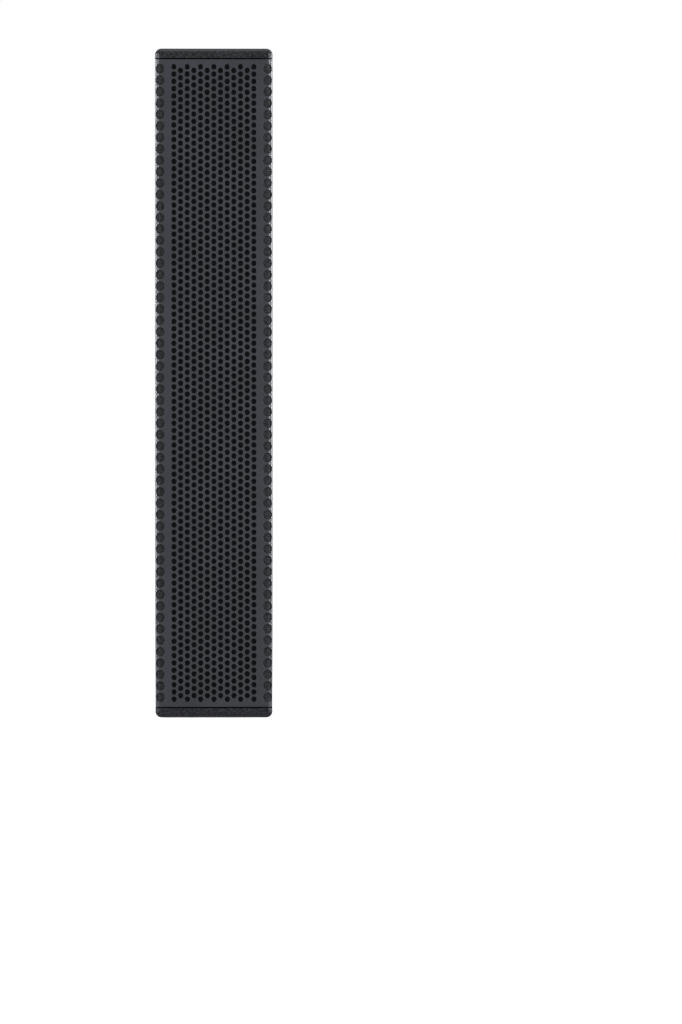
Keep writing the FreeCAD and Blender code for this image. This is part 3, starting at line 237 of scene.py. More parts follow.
class Builder:
    """Collects vertices and faces; points that fall on the same spot share a vertex."""

    def __init__(self):
        self.vertices = []
        self.faces = []
        self.known = {}

    def vertex(self, point):
        key = tuple(round(c, 3) for c in point)
        if key not in self.known:
            self.known[key] = len(self.vertices)
            self.vertices.append(tuple(point))
        return self.known[key]

    def ring(self, points):
        return [self.vertex(p) for p in points]

    def face(self, *numbers):
        kept = [n for k, n in enumerate(numbers) if n != numbers[k - 1]]
        if len(kept) > 2:
            self.faces.append(tuple(kept))

    def bridge(self, first, second, closed=True):
        """Quads between two rows of the same length."""
        for k in range(len(first) if closed else len(first) - 1):
            after = (k + 1) % len(first)
            self.face(first[k], first[after], second[after], second[k])

    def chain(self, *rows, closed=True):
        """Quads from each row to the next; gives back the last row."""
        for first, second in zip(rows, rows[1:]):
            self.bridge(first, second, closed)
        return rows[-1]

    def walls(self, firsts, seconds):
        """Quads from each ring of one layer to the same ring of another."""
        for first, second in zip(firsts, seconds):
            self.bridge(first, second)

    def flat(self, high, inset, y):
        """A round-cornered outline about the socket's axis, set in from a node's corner."""
        half_z = high.z - SOCKET_Z - inset
        return self.upright(rounded_rectangle(high.x - inset, half_z, PLATE_CORNER - inset, 6), y)

    def upright(self, points, y, x=0.0, z=0.0):
        """A ring of (x, z) points at a depth, placed from the socket's axis."""
        return self.ring((x + a, y, SOCKET_Z + z + c) for a, c in points)

    def zip_chains(self, first, first_at, second, second_at):
        """Triangles between two open rows, matched by a rising position along them."""
        i = j = 0
        while i < len(first) - 1 or j < len(second) - 1:
            second_done = j == len(second) - 1
            if second_done or (i < len(first) - 1 and first_at[i + 1] <= second_at[j + 1]):
                self.face(first[i], second[j], first[i + 1])
                i += 1
            else:
                self.face(first[i], second[j], second[j + 1])
                j += 1

    def zip_loops(self, first, first_at, second, second_at):
        """Triangles between two closed rows round one centre, matched by angle."""
        turn = 2 * math.pi
        first_at = [*first_at, first_at[0] + turn]
        second_at = [*second_at, second_at[0] + turn]
        self.zip_chains([*first, first[0]], first_at, [*second, second[0]], second_at)

    def fill(self, outer, holes=()):
        """A flat face with holes, as triangles."""
        loops = [outer, *holes]
        numbers = [n for loop in loops for n in loop]
        corners = [[Vector(self.vertices[n]) for n in loop] for loop in loops]
        for triangle in tessellate_polygon(corners):
            self.face(*(numbers[k] for k in triangle))

    def piece(self, name):
        """The finished object, all its faces turned outwards."""
        mesh = bpy.data.meshes.new(name)
        mesh.from_pydata([Vector(v) * MM for v in self.vertices], [], self.faces)
        work = bmesh.new()
        work.from_mesh(mesh)
        bmesh.ops.recalc_face_normals(work, faces=work.faces)
        work.to_mesh(mesh)
        work.free()
        return add_object(name, mesh)


def quarter_round():
    """(inset, drop) of the points along a rounded edge, from its side to its face."""
    arc = (polar(EDGE_RADIUS, math.pi / 2 * k / EDGE_STEPS) for k in range(EDGE_STEPS + 1))
    return [(EDGE_RADIUS - x, EDGE_RADIUS - y) for x, y in arc]


def sharpen(piece, degrees=35.0):
    """Smooth shading, with a hard line where faces meet at more than the angle."""
    piece.data.polygons.foreach_set("use_smooth", [True] * len(piece.data.polygons))
    piece.data.set_sharp_from_angle(angle=math.radians(degrees))
    return piece


def soften(piece, degrees=35.0):
    """Smooth shading that keeps large flat faces flat beside rounded edges."""
    sharpen(piece, degrees)
    modifier = piece.modifiers.new("flat_faces", "WEIGHTED_NORMAL")
    modifier.keep_sharp = True
    modifier.weight = 100
    return piece


def turned(name, profile, segments, centre=(0, 0, 0), backwards=False, degrees=35.0):
    """A closed (radius, axial) outline turned about +Z, or about the drivers' axis if backwards."""
    b = Builder()
    rings = []
    for k in range(segments):
        ring = []
        for radius, along in profile:
            across, up = polar(radius, 2 * math.pi * k / segments)
            local = (across, along, up) if backwards else (across, up, along)
            ring.append(tuple(c + o for c, o in zip(local, centre)))
        rings.append(b.ring(ring))
    b.chain(*rings, rings[0])
    return sharpen(b.piece(name), degrees)


def placed(name, model, places):
    """Copies of a model, its +Z turned to each direction and spun about it, as one object."""
    work = bmesh.new()
    for place, direction, spin in places:
        turn = Vector(direction).to_track_quat("Z", "Y").to_matrix().to_4x4()
        spun = turn @ Matrix.Rotation(math.radians(spin), 4, "Z")
        copy = model.data.copy()
        copy.transform(Matrix.Translation(Vector(place) * MM) @ spun)
        work.from_mesh(copy)
        bpy.data.meshes.remove(copy)
    mesh = bpy.data.meshes.new(name)
    work.to_mesh(mesh)
    work.free()
    bpy.data.objects.remove(model)
    return add_object(name, mesh)


def roughen(piece, size_mm, depth_mm):
    """Moves each vertex inwards along its normal by a noise."""
    mesh = piece.data
    normals = [v.normal.copy() for v in mesh.vertices]
    for vertex, normal in zip(mesh.vertices, normals):
        lift = (noise.noise(vertex.co / (size_mm * MM)) - 1) / 2
        vertex.co += normal * (lift * depth_mm * MM)
    mesh.update()


def settle(piece, slot, *nodes, body=ROOT):
    """Gives a piece its slot's material and its body, and hides the nodes it stands for."""
    piece.data.materials.clear()
    piece.data.materials.append(MATERIALS[slot])
    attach(piece, body)
    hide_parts(*nodes)
    return piece


# ---- Materials. Patterns are read from object coordinates, so they have the same size on every
# piece and run on from one to the next.


def add_node(tree, kind, inputs, **settings):
    """The outputs of a new node; each input is a constant or another node's output."""
    node = tree.nodes.new(f"ShaderNode{kind}")
    for name, value in settings.items():
        setattr(node, name, value)
    for place, value in inputs.items():
        if isinstance(value, bpy.types.NodeSocket):
            tree.links.new(value, node.inputs[place])
        else:
            node.inputs[place].default_value = value
    return node.outputs


class Nodes:
    """A material's node tree, built with short calls; constants go on the shader's own sockets."""

    def __init__(self, name, specular=0.5, **constants):
        self.material = bpy.data.materials.new(name)
        self.material.use_nodes = True
        self.tree = self.material.node_tree
        self.shader = next(n for n in self.tree.nodes if n.type == "BSDF_PRINCIPLED")
        self.place = self.node("TexCoord", {})["Object"]
        self.shader.inputs["Specular IOR Level"].default_value = specular
        for socket, value in constants.items():
            self.shader.inputs[socket.replace("_", " ")].default_value = value

    def node(self, kind, inputs, **settings):
        return add_node(self.tree, kind, inputs, **settings)

    def texture(self, kind, size_mm, inputs, **settings):
        """A texture over the object's coordinates, its pattern about this size."""
        inputs = {"Vector": self.place, "Scale": 1 / (size_mm * MM), **inputs}
        return self.node(f"Tex{kind}", inputs, **settings)

    def noise(self, size_mm, detail=2.0, roughness=0.5, distortion=0.0):
        """A noise whose features are about this many millimetres across."""
        inputs = {"Detail": detail, "Roughness": roughness, "Distortion": distortion}
        return self.texture("Noise", size_mm, inputs)["Fac"]

    def cells(self, size_mm, feature="F1", **inputs):
        """Distance to the nearest of scattered points about this many millimetres apart."""
        return self.texture("Voronoi", size_mm, inputs, feature=feature)["Distance"]

    def weave(self, pitch_mm, direction):
        """Fine parallel threads across one direction of the object's frame."""
        inputs = {"Distortion": 0.6, "Detail": 1.0}
        settings = {"wave_type": "BANDS", "bands_direction": direction}
        return self.texture("Wave", pitch_mm / UNIT_WAVE, inputs, **settings)["Fac"]

    def axis(self, letter):
        """One of the object's coordinates, in metres."""
        return self.node("SeparateXYZ", {"Vector": self.place})[letter]

    def math(self, operation, first, second=0.0):
        """One arithmetic node."""
        return self.node("Math", {0: first, 1: second}, operation=operation)["Value"]

    def spread(self, source, low=0.3, high=0.7, to_low=0.0, to_high=1.0):
        """Maps one range of a pattern onto another, clamped."""
        names = ("Value", "From Min", "From Max", "To Min", "To Max")
        inputs = dict(zip(names, (source, low, high, to_low, to_high)))
        return self.node("MapRange", inputs)["Result"]

    def shares(self, first, second):
        """Two patterns added, each given as (pattern, low, high, its share of the sum)."""
        parts = (
            self.spread(pattern, low, high, to_high=share)
            for pattern, low, high, share in (first, second)
        )
        return self.math("ADD", *parts)

    def colours(self, source, dark, light, low=0.3, high=0.7):
        """A ramp between two colours over one range of a pattern."""
        ramp = self.node("ValToRGB", {"Fac": source})["Color"]
        ends = zip(ramp.node.color_ramp.elements, (low, high), (dark, light))
        for element, place, colour in ends:
            element.position = place
            element.color = (*colour, 1.0)
        return ramp

    def mix(self, factor, first, second):
        """One colour over another by a pattern."""
        inputs = dict(zip(MIX_SOCKETS, (factor, first, second)))
        return self.node("Mix", inputs, data_type="RGBA")[MIX_COLOUR]

    def relief(self, source, depth_mm, strength):
        """Surface relief from a pattern, this many millimetres deep; several calls add up."""
        inputs = {"Height": source, "Distance": depth_mm * MM, "Strength": strength}
        normal = self.shader.inputs["Normal"]
        if normal.is_linked:
            inputs["Normal"] = normal.links[0].from_socket
        self.tree.links.new(self.node("Bump", inputs)["Normal"], normal)

    def finish(self, colour, rough, *reliefs):
        """Joins up the shader: rough is (pattern, least, most), each relief what relief takes."""
        pattern, least, most = rough
        roughness = self.spread(pattern, to_low=least, to_high=most)
        self.tree.links.new(colour, self.shader.inputs["Base Color"])
        self.tree.links.new(roughness, self.shader.inputs["Roughness"])
        for relief in reliefs:
            self.relief(*relief)
        return self.material


def shade(level):
    """A near-black neutral with the slight blue cast of the finish."""
    return tuple(level * cast for cast in (1.0, 1.06, 1.22))


def structured_paint():
    """Rolled structured paint: soft pebbles with finer grain on and between them."""
    m = Nodes("structured_paint", PAINT_SHEEN)
    pebbles = m.cells(2.6, "SMOOTH_F1", Smoothness=0.5)
    lumps = m.noise(1.7, 3.0, 0.6)
    grain = m.shares((lumps, 0.43, 0.61, 0.8), (m.noise(60.0, 3.0), 0.3, 0.7, 0.2))
    tone = m.colours(grain, *map(shade, PAINT_TONES), 0.1, 0.9)
    reliefs = ((pebbles, 0.25, 0.8), (lumps, 0.3, 0.9), (m.noise(0.45), 0.05, 0.6))
    return m.finish(tone, (lumps, 0.26, 0.42), *reliefs)


def baffle_paint():
    """Thin matt black that lets the plywood's grain show."""
    m = Nodes("baffle_paint", 0.25)
    grain = m.noise(2.5, 5.0, 0.7, 0.6)
    fine = m.noise(0.4, 3.0)
    tone = m.colours(grain, shade(0.010), shade(0.018))
    return m.finish(tone, (fine, 0.65, 0.85), (grain, 0.08, 0.5), (fine, 0.03, 0.4))


def bare_plywood():
    """Birch plywood: long pale grain with darker pores."""
    m = Nodes("bare_plywood")
    grain = m.noise(6.0, 6.0, 0.65, 1.2)
    pores = m.noise(0.7)
    pale = m.colours(grain, (0.52, 0.36, 0.20), (0.68, 0.51, 0.32), 0.25, 0.75)
    dark = m.colours(grain, (0.36, 0.23, 0.12), (0.46, 0.31, 0.18), 0.25, 0.75)
    tone = m.mix(m.spread(pores, 0.58, 0.72), pale, dark)
    return m.finish(tone, (pores, 0.55, 0.75), (pores, 0.05, 0.5))


def grille_paint():
    """Powder coat: an even satin black with a very fine orange peel."""
    m = Nodes("grille_paint", GRILLE_SHEEN)
    peel = m.noise(0.8)
    tone = m.colours(m.noise(35.0, 3.0), *map(shade, GRILLE_TONES))
    return m.finish(tone, (peel, 0.28, 0.38), (peel, 0.02, 0.6), (m.noise(0.22), 0.008, 0.5))


def plate_paint():
    """Smooth black coat, a little glossier than the cabinet."""
    m = Nodes("plate_paint", PLATE_SHEEN)
    fine = m.noise(0.3)
    tone = m.colours(m.noise(25.0, 3.0), *map(shade, PLATE_TONES))
    return m.finish(tone, (fine, 0.38, 0.48), (m.noise(1.6), 0.015, 0.5), (fine, 0.006, 0.5))


def acoustic_foam():
    """Open-cell foam: strands round dark pores, made paler towards the sides by painted light,
    behind the large holes.
    """
    m = Nodes("acoustic_foam", 0.2)
    pores = m.cells(0.85)
    strands = m.noise(0.5, 3.0, 0.65)
    field = m.shares((pores, 0.1, 0.75, 0.65), (strands, 0.3, 0.7, 0.35))
    flat = m.colours(field, FOAM_PORE, FOAM_STRAND, 0.2, 0.9)
    lit_near_sides = m.colours(field, FOAM_PORE, FOAM_STRAND_LIT, 0.2, 0.8)
    # painted light: the foam turns paler towards the sides, where the large holes let more light
    # onto it
    beside = m.spread(m.math("ABSOLUTE", m.axis("X")), *(place * MM for place in FOAM_LIT_BAND))
    tone = m.mix(beside, flat, lit_near_sides)
    return m.finish(tone, (strands, 0.85, 1.0), (pores, 0.4, 0.9), (strands, 0.15, 0.6))


def metal(name, dark, light, rough, metallic=1.0, grain=0.5):
    """Worked metal or a thin coat on it: cloudy tone and fine grain."""
    m = Nodes(name, Metallic=metallic)
    fine = m.noise(grain, 3.0, 0.6)
    tone = m.colours(m.noise(9.0, 4.0), dark, light)
    return m.finish(tone, (fine, rough - 0.08, rough + 0.08), (fine, 0.01, 0.7))


def moulded_plastic(name, dark, light, rough=0.42, lip_highlight=None):
    """Moulded plastic with a spark-eroded grain; its last argument, if given, is the colour of a
    highlight painted on a socket's lip ring.
    """
    m = Nodes(name, 0.4)
    grain = m.noise(0.35, 3.0, 0.6)
    tone = m.colours(m.noise(12.0, distortion=0.8), dark, light)
    # painted highlight: a lighter ring on the socket's lip stands in for the light the lip catches
    if lip_highlight:
        up = m.math("SUBTRACT", m.axis("Z"), SOCKET_Z * MM)
        squares = (m.math("POWER", offset, 2.0) for offset in (m.axis("X"), up))
        radius = m.math("SQRT", m.math("ADD", *squares))
        inside = m.spread(radius, SOCKET_BORE * MM, (SOCKET_BORE + LIP_FADE) * MM)
        outside = m.spread(radius, (LIP_RADIUS - LIP_FADE) * MM, LIP_RADIUS * MM, 1.0, 0.0)
        highlighted_lip = m.colours(grain, light, lip_highlight, 0.3, 0.6)
        tone = m.mix(m.math("MULTIPLY", inside, outside), tone, highlighted_lip)
    return m.finish(tone, (grain, rough - 0.06, rough + 0.1), (grain, 0.02, 0.6))


def circuit_board():
    """Green solder mask with the glass cloth's weave under it."""
    m = Nodes("circuit_board")
    threads = m.math("ADD", m.weave(0.5, "X"), m.weave(0.5, "Z"))
    cloud = m.noise(18.0)
    cloth = m.math("ADD", m.math("MULTIPLY", threads, 0.15), cloud)
    tone = m.colours(cloth, (0.008, 0.075, 0.026), (0.02, 0.16, 0.055), 0.35, 0.85)
    return m.finish(tone, (cloud, 0.25, 0.4), (threads, 0.02, 0.4))


def wire_sleeve():
    """Soft dark red plastic sleeve with scuffs."""
    m = Nodes("wire_sleeve")
    scuffs = m.noise(1.4, 4.0, 0.7)
    tone = m.colours(scuffs, (0.09, 0.012, 0.01), (0.2, 0.03, 0.022), 0.3, 0.75)
    return m.finish(tone, (scuffs, 0.35, 0.6), (scuffs, 0.03, 0.5))


def damping_fleece():
    """Loose grey polyester fleece: tangled fibres and soft lumps."""
    m = Nodes("damping_fleece", 0.15, Sheen_Weight=0.3, Sheen_Roughness=0.6)
    fibres = m.noise(1.0, 6.0, 0.75, 2.5)
    lumps = m.noise(11.0, 3.0)
    field = m.shares((fibres, 0.25, 0.75, 0.7), (lumps, 0.3, 0.7, 0.3))
    tone = m.colours(field, (0.17, 0.17, 0.165), (0.42, 0.42, 0.4), 0.15, 0.9)
    return m.finish(tone, (fibres, 0.85, 1.0), (fibres, 0.6, 0.9), (lumps, 1.5, 0.5))


def paper(name, dark, light, rough=0.8):
    """Pressed pulp: short fibres and a mottled tone."""
    m = Nodes(name, 0.25)
    fibres = m.noise(0.9, 6.0, 0.7, 1.8)
    field = m.shares((fibres, 0.3, 0.7, 0.6), (m.noise(6.0), 0.3, 0.7, 0.4))
    tone = m.colours(field, dark, light, 0.15, 0.85)
    return m.finish(tone, (fibres, rough - 0.1, rough + 0.1), (fibres, 0.08, 0.7))


def ferrite():
    """Sintered ferrite: dull charcoal with fine pits."""
    m = Nodes("ferrite", 0.35)
    cloud = m.noise(4.0, 4.0)
    tone = m.colours(cloud, (0.022, 0.022, 0.024), (0.042, 0.042, 0.045))
    return m.finish(tone, (cloud, 0.55, 0.75), (m.cells(0.6), 0.05, 0.6))


def coil_copper():
    """Enamelled copper winding: fine turns along the coil's axis."""
    m = Nodes("coil_copper", Metallic=0.85)
    cloud = m.noise(3.0)
    tone = m.colours(cloud, (0.42, 0.14, 0.05), (0.62, 0.24, 0.09))
    return m.finish(tone, (cloud, 0.25, 0.4), (m.weave(0.28, "Y"), 0.06, 0.8))


def surround_rubber():
    """Moulded butyl rubber: matt, with a dusty bloom."""
    m = Nodes("surround_rubber", 0.3)
    skin = m.noise(0.4, 3.0)
    bloom = m.noise(3.5, 4.0)
    tone = m.colours(bloom, (0.010, 0.010, 0.011), (0.024, 0.024, 0.026), 0.3, 0.75)
    return m.finish(tone, (skin, 0.5, 0.72), (skin, 0.03, 0.5))


def spider_cloth():
    """Resin-stiffened woven cloth: crossed threads in a warm yellow brown."""
    m = Nodes("spider_cloth", 0.3)
    threads = m.math("MULTIPLY", m.weave(0.7, "X"), m.weave(0.7, "Z"))
    resin = m.noise(5.0, 3.0)
    light = m.colours(resin, (0.42, 0.27, 0.10), (0.55, 0.37, 0.16))
    dark = m.colours(resin, (0.2, 0.12, 0.04), (0.3, 0.19, 0.07))
    return m.finish(m.mix(threads, dark, light), (resin, 0.5, 0.75), (threads, 0.12, 0.8))


def studio_floor():
    """Pale light-table floor with the faintest mottling."""
    glow = {"Emission_Color": (1.0, 1.0, 1.0, 1.0), "Emission_Strength": FLOOR_GLOW}
    m = Nodes("studio_floor", 0.0, **glow)
    mottle = m.noise(400.0, 3.0)
    tone = m.colours(mottle, (0.90, 0.90, 0.90), (0.94, 0.94, 0.94), 0.2, 0.8)
    return m.finish(tone, (mottle, 0.775, 0.875))


# ---- Cabinet


def end_panel(name, outer_z, inner_z):
    """Top or bottom panel: corners and outer edges rounded, two holes for the inserts."""
    outwards = math.copysign(1, outer_z - inner_z)
    middle_y = (FRONT + BACK) / 2
    half_depth = (BACK - FRONT) / 2
    b = Builder()

    def outline(inset, z):
        radius = max(EDGE_RADIUS - inset, 0)
        corners = rounded_rectangle(HALF_WIDTH - inset, half_depth - inset, radius, EDGE_STEPS)
        return b.ring((x, y + middle_y, z) for x, y in corners)

    def holes(z):
        circle = circle_points(INSERT_RADIUS, 48)
        return [b.ring((x, y + v, z) for x, v in circle) for y in INSERT_Y]

    inner = outline(0, inner_z)
    rounded = (outline(inset, outer_z - outwards * drop) for inset, drop in quarter_round())
    outer = b.chain(inner, *rounded)
    inner_holes, outer_holes = holes(inner_z), holes(outer_z)
    b.fill(inner, inner_holes)
    b.fill(outer, outer_holes)
    b.walls(inner_holes, outer_holes)
    return soften(b.piece(name))


def side_panel(name, side):
    """Side panel: rebated at the front for the grille's return, rear edge rounded."""
    inner, outer = SIDE_LOW.x, HALF_WIDTH
    rebate_x = outer - REBATE_DEPTH
    rebate_y = GRILLE_HIGH.y + REBATE_CLEARANCE
    section = [(inner, SIDE_LOW.y), (rebate_x, SIDE_LOW.y), (rebate_x, rebate_y), (outer, rebate_y)]
    section += [(outer - inset, BACK - drop) for inset, drop in quarter_round()]
    section.append((inner, BACK))
    b = Builder()
    rings = [b.ring((x * side, y, z) for x, y in section) for z in (SIDE_LOW.z, SIDE_HIGH.z)]
    b.bridge(*rings)
    for ring in rings:
        b.fill(ring)
    return soften(b.piece(name))


def rear_panel(name):
    """Rear panel: a shallow recess for the terminal plate and an opening behind the socket."""
    half, low, high = SIDE_LOW.x, SIDE_LOW.z, SIDE_HIGH.z
    inner_y = box_mm("rear_panel")[0].y
    floor_y = BACK - RECESS_DEPTH
    b = Builder()

    def rectangle(y):
        corners = ((-half, low), (half, low), (half, high), (-half, high))
        return b.ring((x, y, z) for x, z in corners)

    def window(half_x, half_z, radius, y):
        return b.upright(rounded_rectangle(half_x, half_z, radius, 4), y)

    recess_x = PLATE_HIGH.x + RECESS_GAP
    recess_z = PLATE_HIGH.z - SOCKET_Z + RECESS_GAP
    outer, inner = rectangle(BACK), rectangle(inner_y)
    rim = window(recess_x + PAINT_ROUND, recess_z + PAINT_ROUND, RECESS_CORNER + 0.2, BACK)
    lip = window(recess_x, recess_z, RECESS_CORNER, BACK - PAINT_ROUND)
    floor = window(recess_x, recess_z, RECESS_CORNER, floor_y)
    opening = [window(OPENING_X, OPENING_Z, 1.5, y) for y in (floor_y, inner_y)]
    pilot = circle_points(PILOT_RADIUS, 16)
    holes = [[b.upright(pilot, y, x, z) for x, z in PLATE_SCREWS] for y in (floor_y, inner_y)]
    b.bridge(outer, inner)
    b.fill(outer, [rim])
    b.chain(rim, lip, floor)
    b.fill(floor, [opening[0], *holes[0]])
    b.bridge(*opening)
    b.fill(inner, [opening[1], *holes[1]])
    b.walls(*holes)
    return soften(b.piece(name))


def threaded_inserts():
    """M8 inserts, two in the top panel and two in the base, with a thread cut in each bore."""
    length, flange_z = INSERT_LENGTH, SIDE_LOW.z
    mouth = INSERT_BORE + THREAD_DEPTH
    profile = (
        (mouth + THREAD_MOUTH, 0),
        (INSERT_RADIUS - INSERT_BEVEL, 0),
        (INSERT_RADIUS, INSERT_BEVEL),
        (INSERT_RADIUS, flange_z),
        (INSERT_FLANGE, flange_z),
        (INSERT_FLANGE, length - INSERT_BEVEL),
        (INSERT_FLANGE - INSERT_BEVEL, length),
        (mouth, length),
    )
    turns = [k / INSERT_SEGMENTS for k in range(INSERT_SEGMENTS)]
    b = Builder()

    def ring(radii, z):
        spots = (polar(radius, 2 * math.pi * turn) for radius, turn in zip(radii, turns))
        return b.ring((*spot, -z) for spot in spots)

    outside = [ring([radius] * INSERT_SEGMENTS, z) for radius, z in profile]
    bore = []
    samples = round(length / THREAD_PITCH * THREAD_SAMPLES)
    for sample in range(samples + 1):
        z = THREAD_LEAD + (length - 2 * THREAD_LEAD) * sample / samples
        phases = ((z / THREAD_PITCH - turn) % 1 for turn in turns)
        radii = [INSERT_BORE + THREAD_DEPTH * (1 - abs(2 * phase - 1)) for phase in phases]
        bore.append(ring(radii, z))
    b.chain(*outside, *reversed(bore), outside[0])
    model = sharpen(b.piece("insert_model"), 40)
    ends = ((HEIGHT, 1), (0, -1))
    places = [((0, y, z), (0, 0, way), 0) for y in INSERT_Y for z, way in ends]
    return placed("cabinet_inserts", model, places)


# ---- Grille: a flat sheet is punched, then folded round the sides


def fold(u, z, t):
    """Where a point of the flat sheet lies once its sides are folded; t runs outwards."""
    side = math.copysign(1, u)
    past = abs(u) - BEND_START
    if past <= 0:
        return (u, GRILLE_LOW.y + HALF_SHEET - t, z)
    if past <= BEND_LENGTH:
        y, x = polar(NEUTRAL_RADIUS + t, past / NEUTRAL_RADIUS)
        return (side * (BEND_START + x), GRILLE_LOW.y + GRILLE_BEND - y, z)
    x = BEND_START + NEUTRAL_RADIUS + t
    return (side * x, GRILLE_LOW.y + GRILLE_BEND + past - BEND_LENGTH, z)


class Sheet(Builder):
    """The grille's two layers of vertices, addressed by their place on the flat sheet."""

    def spot(self, u, z, t):
        return self.vertex((u, z, t))

    def around(self, points, u, z, t, side=1):
        """A ring of points about a place on one side of the sheet."""
        return [self.spot(side * (u + x), z + y, t) for x, y in points]

    def piece(self, name):
        self.vertices = [fold(*place) for place in self.vertices]
        return super().piece(name)


def column_place(column):
    """How far a column of small holes lies from the middle."""
    return (column - (SMALL_COLUMNS - 1) / 2) * COLUMN_PITCH


def small_holes(sheet):
    """Staggered columns of small holes, each in its six-sided cell of both faces."""
    rise = SMALL_PITCH / 2
    right = [(CELL_SIDE, 0), (CELL_TOP, rise), (-CELL_TOP, rise)]
    cell = right + [(-x, -y) for x, y in right]
    cell_angles = [math.atan2(y, x) % (2 * math.pi) for x, y in cell]
    angles = [2 * math.pi * k / SMALL_SEGMENTS for k in range(SMALL_SEGMENTS)]
    circle = circle_points(SMALL_RADIUS, SMALL_SEGMENTS)
    wide = circle_points(SMALL_RADIUS + PUNCH_ROUND, SMALL_SEGMENTS)
    for column in range(SMALL_COLUMNS):
        u = column_place(column)
        rows = SMALL_ROWS - column % 2
        for row in range(rows):
            z = MIDDLE + (row - (rows - 1) / 2) * SMALL_PITCH
            front = sheet.around(wide, u, z, HALF_SHEET)
            edge = sheet.around(circle, u, z, HALF_SHEET - PUNCH_ROUND)
            back = sheet.chain(front, edge, sheet.around(circle, u, z, -HALF_SHEET))
            for ring, t in zip((front, back), LAYERS):
                sheet.zip_loops(ring, angles, sheet.around(cell, u, z, t), cell_angles)


# large holes: cuts in their square cells' borders, from a hole's centre and from the grille's
# middle, and their heights
EIGHTH = EDGE_SEGMENTS // 8
CELL_CUTS = [
    EDGE_PITCH / 2 * math.tan(math.pi / 4 * k / EIGHTH) for k in range(-EIGHTH, EIGHTH + 1)
]
EDGE_LINES = [EDGE_CENTRE + offset for offset in CELL_CUTS]
EDGE_HEIGHTS = [MIDDLE + (row - (EDGE_ROWS - 1) / 2) * EDGE_PITCH for row in range(EDGE_ROWS)]

# heights of every vertex beside the large holes, and places of the lines that run on past
# them, round the bend
BORDER_HEIGHTS = [
    GRILLE_LOW.z,
    *(z + offset for z in EDGE_HEIGHTS for offset in CELL_CUTS[:-1]),
    EDGE_HEIGHTS[-1] + EDGE_PITCH / 2,
    GRILLE_HIGH.z,
]
FOLD_START = EDGE_CENTRE + EDGE_PITCH / 2
FOLD_STEP = (RETURN_START - FOLD_START) / BEND_REST_STEPS
FOLD_LINES = [FOLD_START + FOLD_STEP * k for k in range(BEND_REST_STEPS + 1)]


def edge_holes(sheet, side):
    """One side's large holes: each layer is drawn in rings so that it folds smoothly."""
    unit = circle_points(1, EDGE_SEGMENTS)
    reach = [EDGE_PITCH / 2 / max(abs(x), abs(y)) for x, y in unit]
    wide = EDGE_HOLE_RADIUS + PUNCH_ROUND

    def outline(radius, share):
        """Points between the round hole, at share 0, and its cell's square border, at 1."""
        spans = (radius * (1 - share) + far * share for far in reach)
        return [(x * span, y * span) for (x, y), span in zip(unit, spans)]

    rings = [(outline(wide, share), HALF_SHEET) for share in (1, 0.5, 0)]
    rings.append((outline(EDGE_HOLE_RADIUS, 0), HALF_SHEET - PUNCH_ROUND))
    rings += [(outline(EDGE_HOLE_RADIUS, share), -HALF_SHEET) for share in (0, 0.5, 1)]
    for z in EDGE_HEIGHTS:
        sheet.chain(*(sheet.around(points, EDGE_CENTRE, z, t, side) for points, t in rings))


def sheet_sides(sheet, side):
    """The rest of a side: strips above and below the holes, the bend's end and the return."""
    screw_u = RETURN_START + SCREW_Y - GRILLE_LOW.y - GRILLE_BEND
    dimples = []
    for t, radius in zip(LAYERS, (DIMPLE_RADIUS, DIMPLE_BORE)):
        for pair in (BORDER_HEIGHTS[:2], BORDER_HEIGHTS[-2:]):
            rows = [[sheet.spot(side * u, z, t) for u in EDGE_LINES] for z in pair]
            sheet.bridge(*rows, closed=False)
        lines = [[sheet.spot(side * u, z, t) for z in BORDER_HEIGHTS] for u in FOLD_LINES]
        end = sheet.chain(*lines, closed=False)
        corners = [sheet.spot(side * RETURN_END, z, t) for z in (GRILLE_HIGH.z, GRILLE_LOW.z)]
        circle = circle_points(radius, 32)
        dimples.append([sheet.around(circle, screw_u, z, t, side) for z in SCREW_HEIGHTS])
        sheet.fill([*end, *corners], dimples[-1])
    sheet.walls(*dimples)


def zigzag_side():
    """The small cells' outline up the right side: (u, z) rising in z."""
    u = column_place(SMALL_COLUMNS - 1)
    low = MIDDLE - (SMALL_ROWS - 1) / 2 * SMALL_PITCH
    points = [(u + CELL_TOP, low - SMALL_PITCH / 2)]
    for row in range(SMALL_ROWS):
        z = low + row * SMALL_PITCH
        points += [(u + CELL_SIDE, z), (u + CELL_TOP, z + SMALL_PITCH / 2)]
    return points


def zigzag_top():
    """The small cells' outline along the top: (u, z) rising in u."""
    points = []
    for column in range(SMALL_COLUMNS):
        u = column_place(column)
        z = MIDDLE + (SMALL_ROWS - column % 2) / 2 * SMALL_PITCH
        points += [(u - CELL_TOP, z), (u + CELL_TOP, z)]
    return points


def sheet_frame(sheet):
    """The plain strips between the small holes' field, the ends and the large holes."""
    edge = EDGE_LINES[0]
    beside, above = zigzag_side(), zigzag_top()
    along = [u for u, _ in above]
    across = [-edge, *along, edge]
    for t in LAYERS:
        for side in (-1, 1):
            first = [sheet.spot(side * u, z, t) for u, z in beside]
            second = [sheet.spot(side * edge, z, t) for z in BORDER_HEIGHTS]
            sheet.zip_chains(first, [z for _, z in beside], second, BORDER_HEIGHTS)
        for end, z in ((1, GRILLE_HIGH.z), (-1, GRILLE_LOW.z)):
            first = [sheet.spot(u, MIDDLE + end * (v - MIDDLE), t) for u, v in above]
            second = [sheet.spot(u, z, t) for u in across]
            sheet.zip_chains(first, along, second, across)


